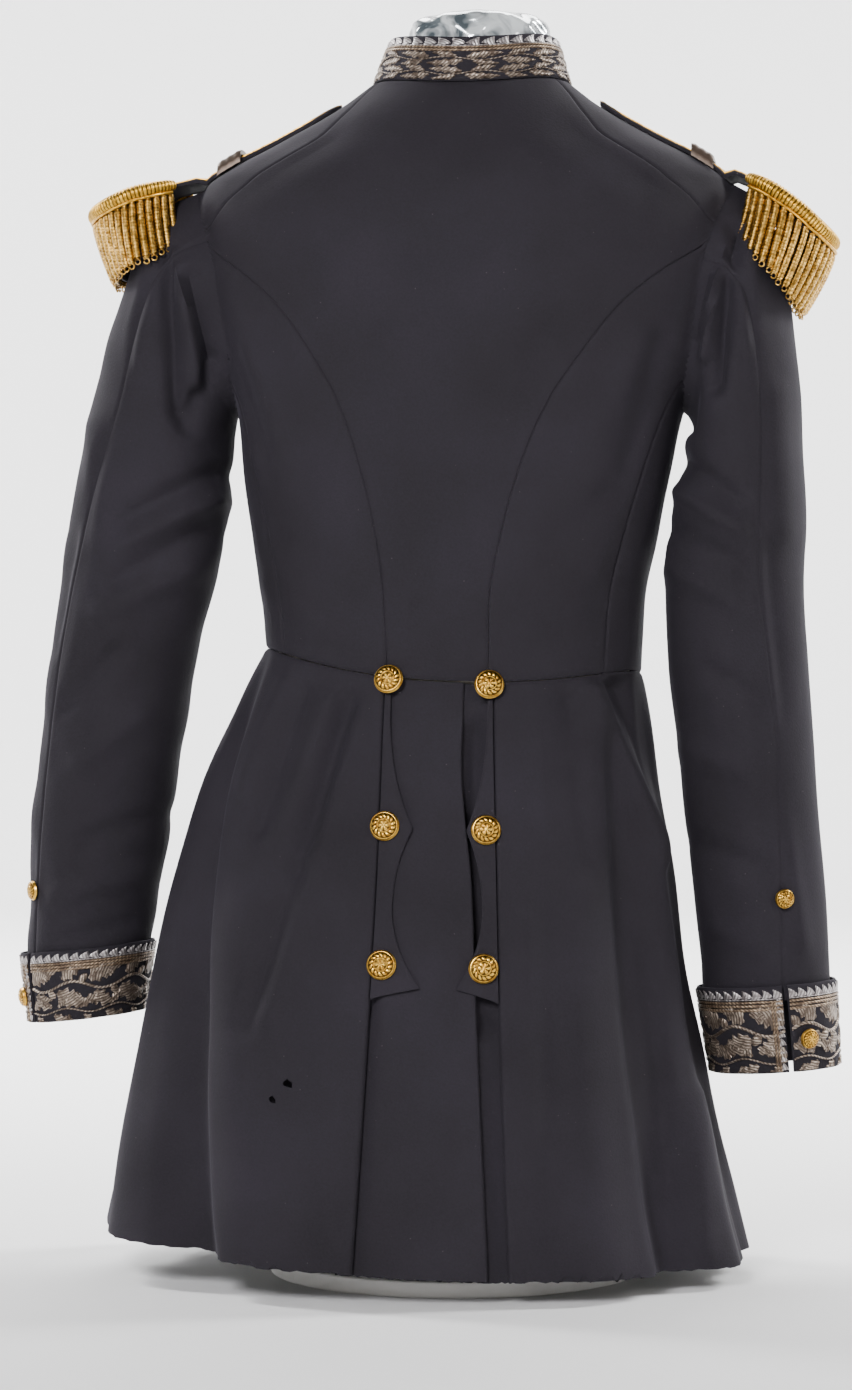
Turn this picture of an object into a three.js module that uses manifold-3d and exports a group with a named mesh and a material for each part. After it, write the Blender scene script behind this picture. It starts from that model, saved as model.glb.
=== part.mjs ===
// A general officer's full-dress tunic on a limbless dress form, seen mostly from the back.
// Millimetres, +Z up. The back of the tunic faces -Y and the wearer's right is +X.
// The origin is on the floor, under the middle of the form. The cloth is a thin wall over named levels.

import * as THREE from 'three';
import { mergeVertices } from 'three/addons/utils/BufferGeometryUtils.js';
import Module from 'manifold-3d';

const wasm = await Module();
wasm.setup();

// Cloth, seams and gaps
const CLOTH = 2;
const SEAM_GAP = 0.3;
const LAY_GAP = 0.8;
const BLADE_DEPTH = 6;

// Buttons
const COAT_BUTTON = { radius: 11, height: 6 };
const CUFF_BUTTON = { radius: 7.5, height: 5 };

// A table has a name for each column. Its rows are read by those names.
const table = (names, rows) => rows.map((row) => Object.fromEntries(names.map((name, i) => [name, row[i]])));

// A level of the body: how far along it is, heights at the back, right, front and left, half width, depth
// behind and before the middle, shift of the middle to the right, and squareness of the section.
const LEVEL_COLUMNS = ['v', 'back', 'right', 'front', 'left', 'half', 'behind', 'before', 'shift', 'square'];

// Levels of the bodice, from the waist seam up to the neck seam.
const BODICE = table(LEVEL_COLUMNS, [
  [0.00, 449, 455, 431, 472, 142.5, 104, 98, -1, 2.2],
  [0.12, 505, 509, 492, 516, 146.5, 107, 103, -2, 2.2],
  [0.25, 562, 562, 552, 564, 155, 113, 112, 0, 2.25],
  [0.37, 614, 612, 606, 614, 163, 117.5, 121, 1.5, 2.3],
  [0.46, 654, 650, 648, 652, 169, 120, 126, 3.5, 2.35],
  [0.56, 700, 697, 692, 699, 186, 119.5, 126, 5.5, 2.4],
  [0.65, 740, 739, 728, 739, 198, 117, 121, 7, 2.4],
  [0.73, 772, 775, 758, 775, 203, 112, 114, 8, 2.35],
  [0.80, 800, 804, 784, 804, 206, 106, 108, 8.5, 2.3],
  [0.86, 820, 821, 800, 821, 200, 100, 102, 9, 2.25],
  [0.90, 838, 835, 815, 835, 180, 93, 94, 10, 2.2],
  [0.94, 857, 851, 833, 851, 148, 83, 84, 11, 2.15],
  [0.97, 876, 871, 850, 871, 112, 73, 72, 12, 2.1],
  [1.00, 894, 897, 866, 897, 75, 62, 60, 13, 2],
]);

// Levels of the skirts, from the waist seam down to the hem.
const SKIRT = table(LEVEL_COLUMNS, [
  [0.00, 449, 455, 431, 472, 142.5, 104, 98, -1, 2.2],
  [0.10, 406, 411, 391, 429, 157, 117, 111, -7, 2.15],
  [0.25, 342, 345, 331, 364, 175, 130, 124, -15, 2.1],
  [0.42, 269, 271, 263, 290, 191, 143, 137, -20, 2.05],
  [0.60, 192, 192, 190, 212, 206, 157, 150, -23, 2],
  [0.80, 106, 105, 110, 125, 226, 171, 163, -23, 2],
  [1.00, 21, 18, 31, 38, 246, 185, 176, -21, 2],
]);

// Folds of the skirts: angle at the waist and at the hem, half breadth in degrees, height of the ridge at the
// hem (a trough is negative). An angle of 0 is the middle of the back, and 90 is the wearer's right.
const SKIRT_FOLDS = [
  { waist: -57, hem: -32, breadth: 13, height: 9 },
  { waist: -75, hem: -54, breadth: 12, height: -15 },
  { waist: -92, hem: -74, breadth: 12, height: 9 },
  { waist: 48, hem: 42, breadth: 11, height: -12 },
  { waist: 55, hem: 61, breadth: 10, height: 12 },
  { waist: 74, hem: 82, breadth: 11, height: -9 },
  { waist: 118, hem: 117, breadth: 12, height: 9 },
  { waist: 138, hem: 134, breadth: 11, height: -9 },
  { waist: 155, hem: 153, breadth: 10, height: 5 },
  { waist: -118, hem: -100, breadth: 13, height: -9 },
  { waist: -136, hem: -126, breadth: 13, height: 8 },
  { waist: -156, hem: -151, breadth: 11, height: -7 },
];

// A sleeve's ring: how far along it is, its outer and its inner end, how far forward its middle is, and half
// its depth from back to front. The rings run from the shoulder to inside the cuff.
const RING_COLUMNS = ['v', 'outerX', 'outerZ', 'innerX', 'innerZ', 'middleY', 'depth'];
const SLEEVES = {
  left: table(RING_COLUMNS, [
    [0.06, -218, 812, -169.5, 648, 4, 70],
    [0.13, -240, 784, -171, 641, 4, 71],
    [0.21, -256, 743, -172, 631, 3, 69],
    [0.30, -271, 692, -172, 617, 2, 66],
    [0.39, -283, 640, -172, 599, 0, 63],
    [0.47, -293, 588, -174, 578, -2, 61],
    [0.54, -302, 539, -180, 543, -3, 59],
    [0.61, -309, 491, -191, 500, -2, 57],
    [0.68, -315, 443, -203, 456, 2, 56],
    [0.74, -322, 398, -210, 411, 8, 54.5],
    [0.81, -328, 352, -218, 366, 14, 52.5],
    [0.88, -333, 306, -226, 320, 20, 50],
    [0.94, -336, 262, -236, 275, 26, 47.5],
    [1.00, -338, 224, -244, 235, 31, 46],
  ]),
  right: table(RING_COLUMNS, [
    [0.06, 226, 812, 176, 648, 4, 70],
    [0.13, 243, 784, 177, 641, 4, 71],
    [0.21, 252, 743, 175.5, 631, 3, 69],
    [0.30, 259, 692, 173, 617, 2, 66],
    [0.39, 263, 640, 169.5, 600, 0, 63],
    [0.47, 264.5, 590, 164.5, 578, -2, 61],
    [0.54, 264.5, 546, 161, 543, -3, 58],
    [0.61, 265.5, 502, 161, 502, -2, 56],
    [0.68, 267.5, 458, 162.5, 458, 2, 54.5],
    [0.74, 271, 413, 167, 412, 8, 53],
    [0.81, 274, 366, 172.5, 364, 14, 51],
    [0.88, 278, 318, 178, 314, 20, 49],
    [0.94, 281, 268, 182.5, 262, 26, 47],
    [1.00, 284, 211, 187.5, 203, 31, 46],
  ]),
};
const CUFFS = {
  left: table(RING_COLUMNS, [
    [0, -343, 236, -238, 247, 30, 50.5],
    [1, -338, 182, -247, 192, 36, 46.5],
  ]),
  right: table(RING_COLUMNS, [
    [0, 288, 222, 182, 215, 30, 50.5],
    [1, 291, 156, 192, 150, 37, 46.5],
  ]),
};
// The hindarm seam's place round the sleeve, in degrees from the outer side towards the back.
const HINDARM = {
  left: table(['v', 'turn'], [[0, 60], [0.3, 62], [0.5, 50], [0.72, 40], [1, 41]]),
  right: table(['v', 'turn'], [[0, 74], [0.3, 66], [0.55, 67], [0.72, 60], [1, 73]]),
};
const FOREARM_TURN = 218;

// The armhole is an oval seen from the side.
const ARMHOLE = { middleY: 4, middleZ: 736.5, halfDepth: 66, halfHeight: 86.5 };

// Seams of the bodice, as angle against level.
const BACK_SEAM = [
  { v: -0.05, turn: 13.3 }, { v: 0.12, turn: 13.5 }, { v: 0.25, turn: 15.5 }, { v: 0.395, turn: 20.3 },
  { v: 0.52, turn: 28 }, { v: 0.615, turn: 37 }, { v: 0.67, turn: 47.5 }, { v: 0.71, turn: 61 },
  { v: 0.74, turn: 75 },
];
const SIDE_SEAM = [
  { v: -0.05, turn: 55 }, { v: 0.2, turn: 58 }, { v: 0.4, turn: 66 }, { v: 0.56, turn: 80 },
];
const SHOULDER_SEAM = [
  { v: 0.735, turn: 74 }, { v: 0.775, turn: 61 }, { v: 0.83, turn: 51.5 }, { v: 0.88, turn: 46 },
  { v: 0.935, turn: 42 }, { v: 0.965, turn: 48 }, { v: 1, turn: 62 }, { v: 1.015, turn: 66 },
];
const FRONT_LAP = 20;

// Laps and pleats of the back of the skirts: distance from the middle, to the right, against level.
const PLEAT_LEFT = [{ v: 0, x: -40 }, { v: 0.25, x: -41 }, { v: 0.6, x: -46 }, { v: 1, x: -54 }];
const PLEAT_RIGHT = [{ v: 0, x: 40 }, { v: 0.3, x: 45 }, { v: 0.6, x: 50 }, { v: 1, x: 59 }];
const LAP_EDGE = table(['v', 'x'], [[0, 19], [0.12, 18.5], [0.35, 28], [0.6, 34], [1, 45]]);
const LAP_TUCK = 13;
const UNDERLAP_START = -14;

// Breadth of a scalloped skirt flap from the pleat towards the middle, against height.
const FLAP = [
  { z: 436, breadth: 5 }, { z: 405, breadth: 6 }, { z: 382, breadth: 10 }, { z: 357, breadth: 19 },
  { z: 341, breadth: 25 }, { z: 329, breadth: 20 }, { z: 312, breadth: 13.5 }, { z: 286, breadth: 12.5 },
  { z: 264, breadth: 17 }, { z: 244, breadth: 25 }, { z: 227, breadth: 36 },
];
const FLAP_FOOT = 217;
const FLAP_THICK = 1.6;
const BACK_BUTTON_HEIGHTS = [446.5, 341.5, 242];
const BACK_BUTTON_X = [-36.5, 37];

const COLLAR_TOP = {
  back: 928, right: 931, front: 906, left: 931, half: 64, behind: 56, before: 54, shift: 15, square: 2,
};
const COLLAR_OPENING = 4;

// Epaulettes. The strap follows the shoulder's ridge, from level to level, with its half breadth. Past the
// shoulder the field of the epaulette stands out: underside height and half breadth against distance out.
const STRAP = [
  { v: 0.981, breadth: 9 }, { v: 0.975, breadth: 22 }, { v: 0.965, breadth: 27 }, { v: 0.945, breadth: 27 },
  { v: 0.92, breadth: 27 }, { v: 0.895, breadth: 27 }, { v: 0.872, breadth: 27 },
];
const FIELD = {
  left: table(['out', 'z', 'breadth'], [
    [206, 826, 27], [217, 823.5, 27], [225, 822, 29], [234, 820, 39],
    [248, 816.5, 44], [262, 811, 39.4], [273, 806, 25], [278.5, 803.5, 8],
  ]),
  right: table(['out', 'z', 'breadth'], [
    [206, 826, 27], [212, 823.5, 27], [219, 820.5, 28], [228, 816, 39],
    [241, 807.5, 44], [254, 797, 39], [263, 788, 25], [268.5, 782.5, 8],
  ]),
};
const CRESCENT = {
  left: { middle: 248, reach: 37.5 },
  right: { middle: 241, reach: 35 },
};
const CRESCENT_BREADTH = 50.5;
const EPAULETTE = {
  middleX: 9, middleY: 2, thick: 3.5, strapCrown: 0.0035, fieldCrown: 0.0012,
  rollRadius: 5.8, rollTip: 3.4, rollSweep: 138, rollTilt: 1.17,
  fringeSweep: 102, strands: 20, strandLength: 44, strandLean: 5, strandWidth: 6.6, strandDepth: 5,
  rootHeight: 4,
  linerInset: 11, linerLength: 36, linerThick: 1.5,
};
const PASSANT = { from: 0.906, to: 0.889, reach: 33, thick: 2, across: [-1, -0.84, -0.45, 0, 0.45, 0.84, 1] };

// Dress form and stand
const FORM_CLEAR = 0.8;
const FORM_EASE = { most: 6, from: 0.84, over: 0.2 };
const FORM_LEVELS = [0, 0.44, 0.66, 0.73, 0.79, 0.84, 0.88, 0.92, 0.96, 0.985];
const FORM_FOOT = {
  back: 392, right: 392, front: 392, left: 392, half: 128, behind: 90, before: 84, shift: -1, square: 2.2,
};
const NECK = [
  { z: 912, half: 55, depth: 47 }, { z: 938, half: 56, depth: 48 }, { z: 951, half: 46, depth: 40 },
];
const NECK_SHIFT = 19;
const NECK_TAPER = 0.32;
const POLE_RADIUS = 14;
const BASE = { radius: 140, thick: 12, edge: 4 };

// Values between the rows of a table: a smooth curve that keeps rising or falling rows so.
function along(rows, key, at, column) {
  const last = rows.length - 1;
  const slope = (i) => (rows[i + 1][column] - rows[i][column]) / (rows[i + 1][key] - rows[i][key]);
  const tangent = (i) => {
    if (i === 0) return slope(0);
    if (i === last) return slope(last - 1);
    const before = slope(i - 1);
    const after = slope(i);
    return before * after <= 0 ? 0 : (2 * before * after) / (before + after);
  };
  const rising = rows[last][key] > rows[0][key];
  const past = (value, limit) => (rising ? value >= limit : value <= limit);
  if (past(at, rows[last][key])) return rows[last][column] + tangent(last) * (at - rows[last][key]);
  if (!past(at, rows[0][key])) return rows[0][column] + tangent(0) * (at - rows[0][key]);
  let i = 0;
  while (past(at, rows[i + 1][key])) i += 1;
  const span = rows[i + 1][key] - rows[i][key];
  const t = (at - rows[i][key]) / span;
  const rest = 1 - t;
  return rows[i][column] * rest * rest * (1 + 2 * t) + rows[i + 1][column] * t * t * (3 - 2 * t)
    + tangent(i) * span * t * rest * rest - tangent(i + 1) * span * t * t * rest;
}

const radians = THREE.MathUtils.degToRad;
const bend = (value, power) => Math.sign(value) * Math.abs(value) ** power;

// A point on a level's section. An angle of 0 is the middle of the back.
function onLevel(level, angle) {
  const sine = Math.sin(angle);
  const cosine = Math.cos(angle);
  const mean = (level.back + level.front + level.right + level.left) / 4;
  const z = mean + (level.back - level.front) / 2 * cosine + (level.right - level.left) / 2 * sine
    + (level.back + level.front - level.right - level.left) / 4 * Math.cos(2 * angle);
  const depth = cosine > 0 ? level.behind : level.before;
  const x = level.shift + level.half * bend(sine, 2 / level.square);
  return new THREE.Vector3(x, -depth * bend(cosine, 2 / level.square), z);
}

function levelAt(rows, v) {
  const level = {};
  for (const column of LEVEL_COLUMNS) level[column] = along(rows, 'v', v, column);
  return level;
}
const bodice = (angle, v) => onLevel(levelAt(BODICE, v), angle);

// The skirt's folds fade out towards the waist seam, where they start as small pleats.
function skirt(angle, v) {
  const level = levelAt(SKIRT, v);
  const point = onLevel(level, angle);
  const degrees = THREE.MathUtils.radToDeg(angle);
  let rise = 0;
  for (const fold of SKIRT_FOLDS) {
    const middle = fold.waist + (fold.hem - fold.waist) * Math.min(1, Math.max(0, v));
    let away = Math.abs(degrees - middle);
    away = Math.min(away, 360 - away) / fold.breadth;
    if (away < 1) rise += fold.height * Math.cos(away * Math.PI / 2) ** 2 * Math.max(0, v) ** 0.6;
  }
  const outX = point.x - level.shift;
  const reach = Math.hypot(outX, point.y);
  point.x += outX / reach * rise;
  point.y += point.y / reach * rise;
  return point;
}

// The angle at which a skirt level passes a given distance from the middle, at the back.
function angleAtX(v, x) {
  const level = levelAt(SKIRT, v);
  const share = (x - level.shift) / level.half;
  return Math.asin(bend(share, level.square / 2));
}

function normalAt(surface, a, b, side) {
  const step = 0.004;
  const alongA = surface(a + step, b).sub(surface(a - step, b));
  const alongB = surface(a, b + step).sub(surface(a, b - step));
  return alongA.cross(alongB).normalize().multiplyScalar(side);
}

// Two sheets of points, outer and inner, make a wall with closed rims. Sheets of a tube join round.
function wall(outer, inner, joined = false) {
  const rows = outer.length;
  const columns = outer[0].length;
  const points = [...outer.flat(), ...inner.flat()];
  const at = (sheet, row, column) => sheet * rows * columns + row * columns + (column % columns);
  const faces = [];
  const quad = (a, b, c, d) => faces.push(a, b, c, a, c, d);
  const lastColumn = joined ? columns : columns - 1;
  for (let row = 0; row < rows - 1; row += 1) {
    for (let column = 0; column < lastColumn; column += 1) {
      quad(at(0, row, column), at(0, row, column + 1), at(0, row + 1, column + 1), at(0, row + 1, column));
      quad(at(1, row, column), at(1, row + 1, column), at(1, row + 1, column + 1), at(1, row, column + 1));
    }
  }
  for (let column = 0; column < lastColumn; column += 1) {
    const end = rows - 1;
    quad(at(0, 0, column), at(1, 0, column), at(1, 0, column + 1), at(0, 0, column + 1));
    quad(at(0, end, column), at(0, end, column + 1), at(1, end, column + 1), at(1, end, column));
  }
  if (!joined) {
    for (let row = 0; row < rows - 1; row += 1) {
      const end = columns - 1;
      quad(at(0, row, 0), at(0, row + 1, 0), at(1, row + 1, 0), at(1, row, 0));
      quad(at(0, row, end), at(1, row, end), at(1, row + 1, end), at(0, row + 1, end));
    }
  }
  return solid(points, faces);
}

// A strip with a raised outer sheet of many rows over a plain inner sheet of two rows.
function raisedStrip(outer, inner) {
  const rows = outer.length;
  const columns = outer[0].length;
  const points = [...outer.flat(), ...inner.flat()];
  const out = (row, column) => row * columns + column;
  const back = (row, column) => (rows + row) * columns + column;
  const faces = [];
  const quad = (a, b, c, d) => faces.push(a, b, c, a, c, d);
  for (let column = 0; column < columns - 1; column += 1) {
    for (let row = 0; row < rows - 1; row += 1) {
      quad(out(row, column), out(row, column + 1), out(row + 1, column + 1), out(row + 1, column));
    }
    quad(back(0, column), back(1, column), back(1, column + 1), back(0, column + 1));
    quad(out(0, column), back(0, column), back(0, column + 1), out(0, column + 1));
    quad(out(rows - 1, column), out(rows - 1, column + 1), back(1, column + 1), back(1, column));
  }
  const end = columns - 1;
  for (let row = 0; row < rows - 1; row += 1) {
    faces.push(back(0, 0), out(row, 0), out(row + 1, 0));
    faces.push(back(0, end), out(row + 1, end), out(row, end));
  }
  faces.push(back(0, 0), out(rows - 1, 0), back(1, 0));
  faces.push(back(0, end), back(1, end), out(rows - 1, end));
  return solid(points, faces);
}

// Rings of points, closed by a fan at each end.
function loft(rings) {
  const count = rings[0].length;
  const points = rings.flat();
  const faces = [];
  const middleOf = (ring) => ring.reduce((sum, p) => sum.add(p), new THREE.Vector3()).divideScalar(count);
  for (let row = 0; row < rings.length - 1; row += 1) {
    for (let i = 0; i < count; i += 1) {
      const a = row * count + i;
      const b = row * count + (i + 1) % count;
      faces.push(a, b, b + count, a, b + count, a + count);
    }
  }
  const first = points.push(middleOf(rings[0])) - 1;
  const final = points.push(middleOf(rings[rings.length - 1])) - 1;
  const start = (rings.length - 1) * count;
  for (let i = 0; i < count; i += 1) {
    faces.push(first, (i + 1) % count, i);
    faces.push(final, start + i, start + (i + 1) % count);
  }
  return solid(points, faces);
}

// A closed mesh, turned to face out.
function solid(points, faces) {
  let volume = 0;
  for (let i = 0; i < faces.length; i += 3) {
    volume += points[faces[i]].dot(points[faces[i + 1]].clone().cross(points[faces[i + 2]]));
  }
  if (volume < 0) faces.reverse();
  const geometry = new THREE.BufferGeometry();
  geometry.setAttribute('position', new THREE.Float32BufferAttribute(points.flatMap((p) => p.toArray()), 3));
  geometry.setIndex(faces);
  return geometry;
}

function toManifold(geometry) {
  const merged = mergeVertices(geometry, 1e-4);
  return new wasm.Manifold(new wasm.Mesh({
    numProp: 3,
    vertProperties: new Float32Array(merged.attributes.position.array),
    triVerts: new Uint32Array(merged.index.array),
  }));
}

function fromManifold(body) {
  const mesh = body.getMesh();
  const geometry = new THREE.BufferGeometry();
  geometry.setAttribute('position', new THREE.Float32BufferAttribute(Array.from(mesh.vertProperties), 3));
  geometry.setIndex(Array.from(mesh.triVerts));
  return geometry;
}

function gridOf(surface, aList, bList, side, thick, lift = 0) {
  const outer = [];
  const inner = [];
  for (const b of bList) {
    const outerRow = [];
    const innerRow = [];
    for (const a of aList(b)) {
      const point = surface(a, b);
      const normal = normalAt(surface, a, b, side);
      outerRow.push(point.clone().addScaledVector(normal, lift));
      innerRow.push(point.clone().addScaledVector(normal, lift - thick));
    }
    outer.push(outerRow);
    inner.push(innerRow);
  }
  return { outer, inner };
}

const steps = (from, to, count) => Array.from({ length: count + 1 }, (_, i) => from + (to - from) * i / count);

// A thin blade that follows a seam and cuts the wall through.
function blade(surface, seam, side) {
  const sheets = [[], []];
  for (let i = 0; i < seam.length; i += 1) {
    const [a, b] = seam[i];
    const point = surface(a, b);
    const before = seam[Math.max(0, i - 1)];
    const after = seam[Math.min(seam.length - 1, i + 1)];
    const run = surface(...after).sub(surface(...before)).normalize();
    const normal = normalAt(surface, a, b, side);
    const across = normal.clone().cross(run).normalize();
    const corner = (sideways, deep) => point.clone()
      .addScaledVector(across, sideways).addScaledVector(normal, deep);
    sheets[0].push([corner(SEAM_GAP / 2, -BLADE_DEPTH), corner(SEAM_GAP / 2, BLADE_DEPTH)]);
    sheets[1].push([corner(-SEAM_GAP / 2, -BLADE_DEPTH), corner(-SEAM_GAP / 2, BLADE_DEPTH)]);
  }
  return toManifold(wall(sheets[0], sheets[1]));
}

// The tunic's colours and finishes
function finish(color, roughness, metalness = 0) {
  return new THREE.MeshStandardMaterial({ color, roughness, metalness });
}
const WOOL = finish('#1a1920', 0.9);
const GILT = finish('#b98c3c', 0.35, 1);
const BULLION = finish('#c79a3f', 0.45, 1);
const SILVER_THREAD = finish('#6f6553', 0.6, 0.6);
const FORM_CLOTH = finish('#cfc8ba', 0.85);
const FILM = finish('#c3c6c9', 0.3);
const IRON = finish('#24262a', 0.45, 0.8);
const WOOD = finish('#d6d3cd', 0.6);

const garment = new THREE.Group();
function piece(name, geometry, material, place = null) {
  const mesh = new THREE.Mesh(geometry, material);
  mesh.name = name;
  if (place) {
    mesh.position.copy(place.point);
    mesh.quaternion.setFromUnitVectors(new THREE.Vector3(0, 0, 1), place.normal);
  }
  garment.add(mesh);
}

// Bodice: one wall round the body, parted along its seams and cut out at the armholes
const AROUND = 36;
const BODICE_LEVELS = [0, 0.12, 0.24, 0.36, 0.48, 0.58, 0.66, 0.73, 0.79, 0.84, 0.88, 0.92, 0.96, 0.98, 1];
const SLEEVE_AROUND = 18;
const SEAM_STEPS = 14;
const FINEST = 0.15;
const PLUG_REACH = [120, 290];
const roundSteps = (count) => steps(0, 2 * Math.PI, count).slice(0, count);
const wholeTurn = roundSteps(AROUND);
const sleeveTurn = roundSteps(SLEEVE_AROUND);
const bodiceWall = gridOf(bodice, () => wholeTurn, BODICE_LEVELS, 1, CLOTH);
let bodiceBody = toManifold(wall(bodiceWall.outer, bodiceWall.inner, true));

// The armhole's oval, made smaller all round by the inset. A turn of 0 is its top and 90 degrees its back.
function armholeAt(turn, inset) {
  return {
    y: ARMHOLE.middleY - (ARMHOLE.halfDepth - inset) * Math.sin(turn),
    z: ARMHOLE.middleZ + (ARMHOLE.halfHeight - inset) * Math.cos(turn),
  };
}

for (const hand of [-1, 1]) {
  const oval = sleeveTurn.map((turn) => armholeAt(turn, 0));
  const plug = loft(PLUG_REACH.map((out) => oval.map((p) => new THREE.Vector3(out * hand, p.y, p.z))));
  bodiceBody = bodiceBody.subtract(toManifold(plug));
  for (const rows of [BACK_SEAM, SHOULDER_SEAM, SIDE_SEAM]) {
    const seam = steps(rows[0].v, rows[rows.length - 1].v, SEAM_STEPS)
      .map((v) => [hand * radians(along(rows, 'v', v, 'turn')), v]);
    bodiceBody = bodiceBody.subtract(blade(bodice, seam, 1));
  }
}
const frontEdge = steps(BACK_SEAM[0].v, SHOULDER_SEAM[SHOULDER_SEAM.length - 1].v, SEAM_STEPS).map((v) => {
  const level = levelAt(BODICE, v);
  return [Math.PI - Math.asin(bend(FRONT_LAP / level.half, level.square / 2)), v];
});
bodiceBody = bodiceBody.subtract(blade(bodice, frontEdge, 1));

for (const part of bodiceBody.decompose()) {
  const box = part.boundingBox();
  const middle = [0, 1, 2].map((axis) => (box.min[axis] + box.max[axis]) / 2);
  const hand = middle[0] < 0 ? 'left' : 'right';
  let name = 'forepart_' + hand;
  if (box.min[0] < -100 && box.max[0] > 100) name = 'back';
  else if (box.max[1] < ARMHOLE.middleY + 20) name = 'side_body_' + hand;
  piece(name, fromManifold(part.simplify(FINEST)), WOOL);
}

// Skirts: from the back pleat round to the middle of the front
const SKIRT_TOP = 0.0008;
const SKIRT_COLUMNS = 26;
const SKIRT_LEVELS = [SKIRT_TOP, 0.06, 0.14, 0.25, 0.4, 0.56, 0.78, 1];
const HANDS = [{ hand: -1, name: 'left' }, { hand: 1, name: 'right' }];
const PLEATS = { left: PLEAT_LEFT, right: PLEAT_RIGHT };
const FRONT_GAP = { waist: 0.002, spread: 0.03 };
const frontGap = (v) => FRONT_GAP.waist + FRONT_GAP.spread * v;
for (const { hand, name } of HANDS) {
  const pleat = (v) => angleAtX(v, along(PLEATS[name], 'v', v, 'x'));
  const span = (v) => steps(pleat(v), hand * (Math.PI - frontGap(v)), SKIRT_COLUMNS);
  const { outer, inner } = gridOf(skirt, span, SKIRT_LEVELS, -1, CLOTH);
  piece('skirt_' + name, wall(outer, inner), WOOL);
}

// Laps of the back vent: the left one lies over the right one, and both run under the skirts' pleats
const LAP_COLUMNS = 4;
const lapLevels = [SKIRT_TOP, 0.08, 0.2, 0.35, 0.55, 0.78, 1];
const leftLap = (v) => steps(angleAtX(v, along(PLEAT_LEFT, 'v', v, 'x') - LAP_TUCK),
  angleAtX(v, along(LAP_EDGE, 'v', v, 'x')), LAP_COLUMNS);
const leftLapSheets = gridOf(skirt, leftLap, lapLevels, -1, CLOTH, -(CLOTH + LAY_GAP));
piece('lap_left', wall(leftLapSheets.outer, leftLapSheets.inner), WOOL);
const rightLap = (v) => steps(angleAtX(v, UNDERLAP_START),
  angleAtX(v, along(PLEAT_RIGHT, 'v', v, 'x') + LAP_TUCK), LAP_COLUMNS);
const rightLapSheets = gridOf(skirt, rightLap, lapLevels, -1, CLOTH, -2 * (CLOTH + LAY_GAP));
piece('lap_right', wall(rightLapSheets.outer, rightLapSheets.inner), WOOL);

// Scalloped flaps, sewn in at the pleats and held down by the buttons
function levelAtHeight(z) {
  let low = 0;
  let high = 1;
  for (let i = 0; i < 30; i += 1) {
    const middle = (low + high) / 2;
    if (along(SKIRT, 'v', middle, 'back') > z) low = middle;
    else high = middle;
  }
  return low;
}
const FLAP_SHARE = { left: 1, right: 0.85 };
for (const { hand, name } of HANDS) {
  const top = FLAP[0].z;
  const corner = FLAP[FLAP.length - 1].z;
  const outer = [];
  const inner = [];
  for (const row of FLAP) {
    const outerRow = [];
    const innerRow = [];
    for (const share of [0, 0.33, 0.67, 1]) {
      const foot = top - (top - row.z) * (top - FLAP_FOOT) / (top - corner);
      const v = levelAtHeight(foot + (row.z - foot) * share);
      const inward = SEAM_GAP + 0.3 + (row.breadth * FLAP_SHARE[name] - 0.6) * share;
      const angle = angleAtX(v, along(PLEATS[name], 'v', v, 'x') - hand * inward);
      const point = skirt(angle, v);
      const normal = normalAt(skirt, angle, v, -1);
      outerRow.push(point);
      innerRow.push(point.clone().addScaledVector(normal, -FLAP_THICK));
    }
    outer.push(outerRow);
    inner.push(innerRow);
  }
  piece('flap_' + name, wall(outer, inner), WOOL);
}

// Sleeves: each starts inside the armhole's rim, runs down a fan of rings, and is parted into two pieces
function bodiceSideX(hand, y, z) {
  let low = 0.3;
  let high = 0.97;
  let point = null;
  for (let i = 0; i < 40; i += 1) {
    const v = (low + high) / 2;
    const level = levelAt(BODICE, v);
    const depth = y < 0 ? level.behind : level.before;
    const turn = Math.acos(bend(Math.min(1, Math.max(-1, -y / depth)), level.square / 2));
    point = onLevel(level, hand * turn);
    if (point.z < z) low = v;
    else high = v;
  }
  return point.x;
}

function tubePoint(rows, turn, v) {
  const row = {};
  for (const column of RING_COLUMNS) row[column] = along(rows, 'v', v, column);
  const share = (1 + Math.cos(turn)) / 2;
  return new THREE.Vector3(
    row.innerX + (row.outerX - row.innerX) * share,
    row.middleY - row.depth * Math.sin(turn),
    row.innerZ + (row.outerZ - row.innerZ) * share,
  );
}

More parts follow.
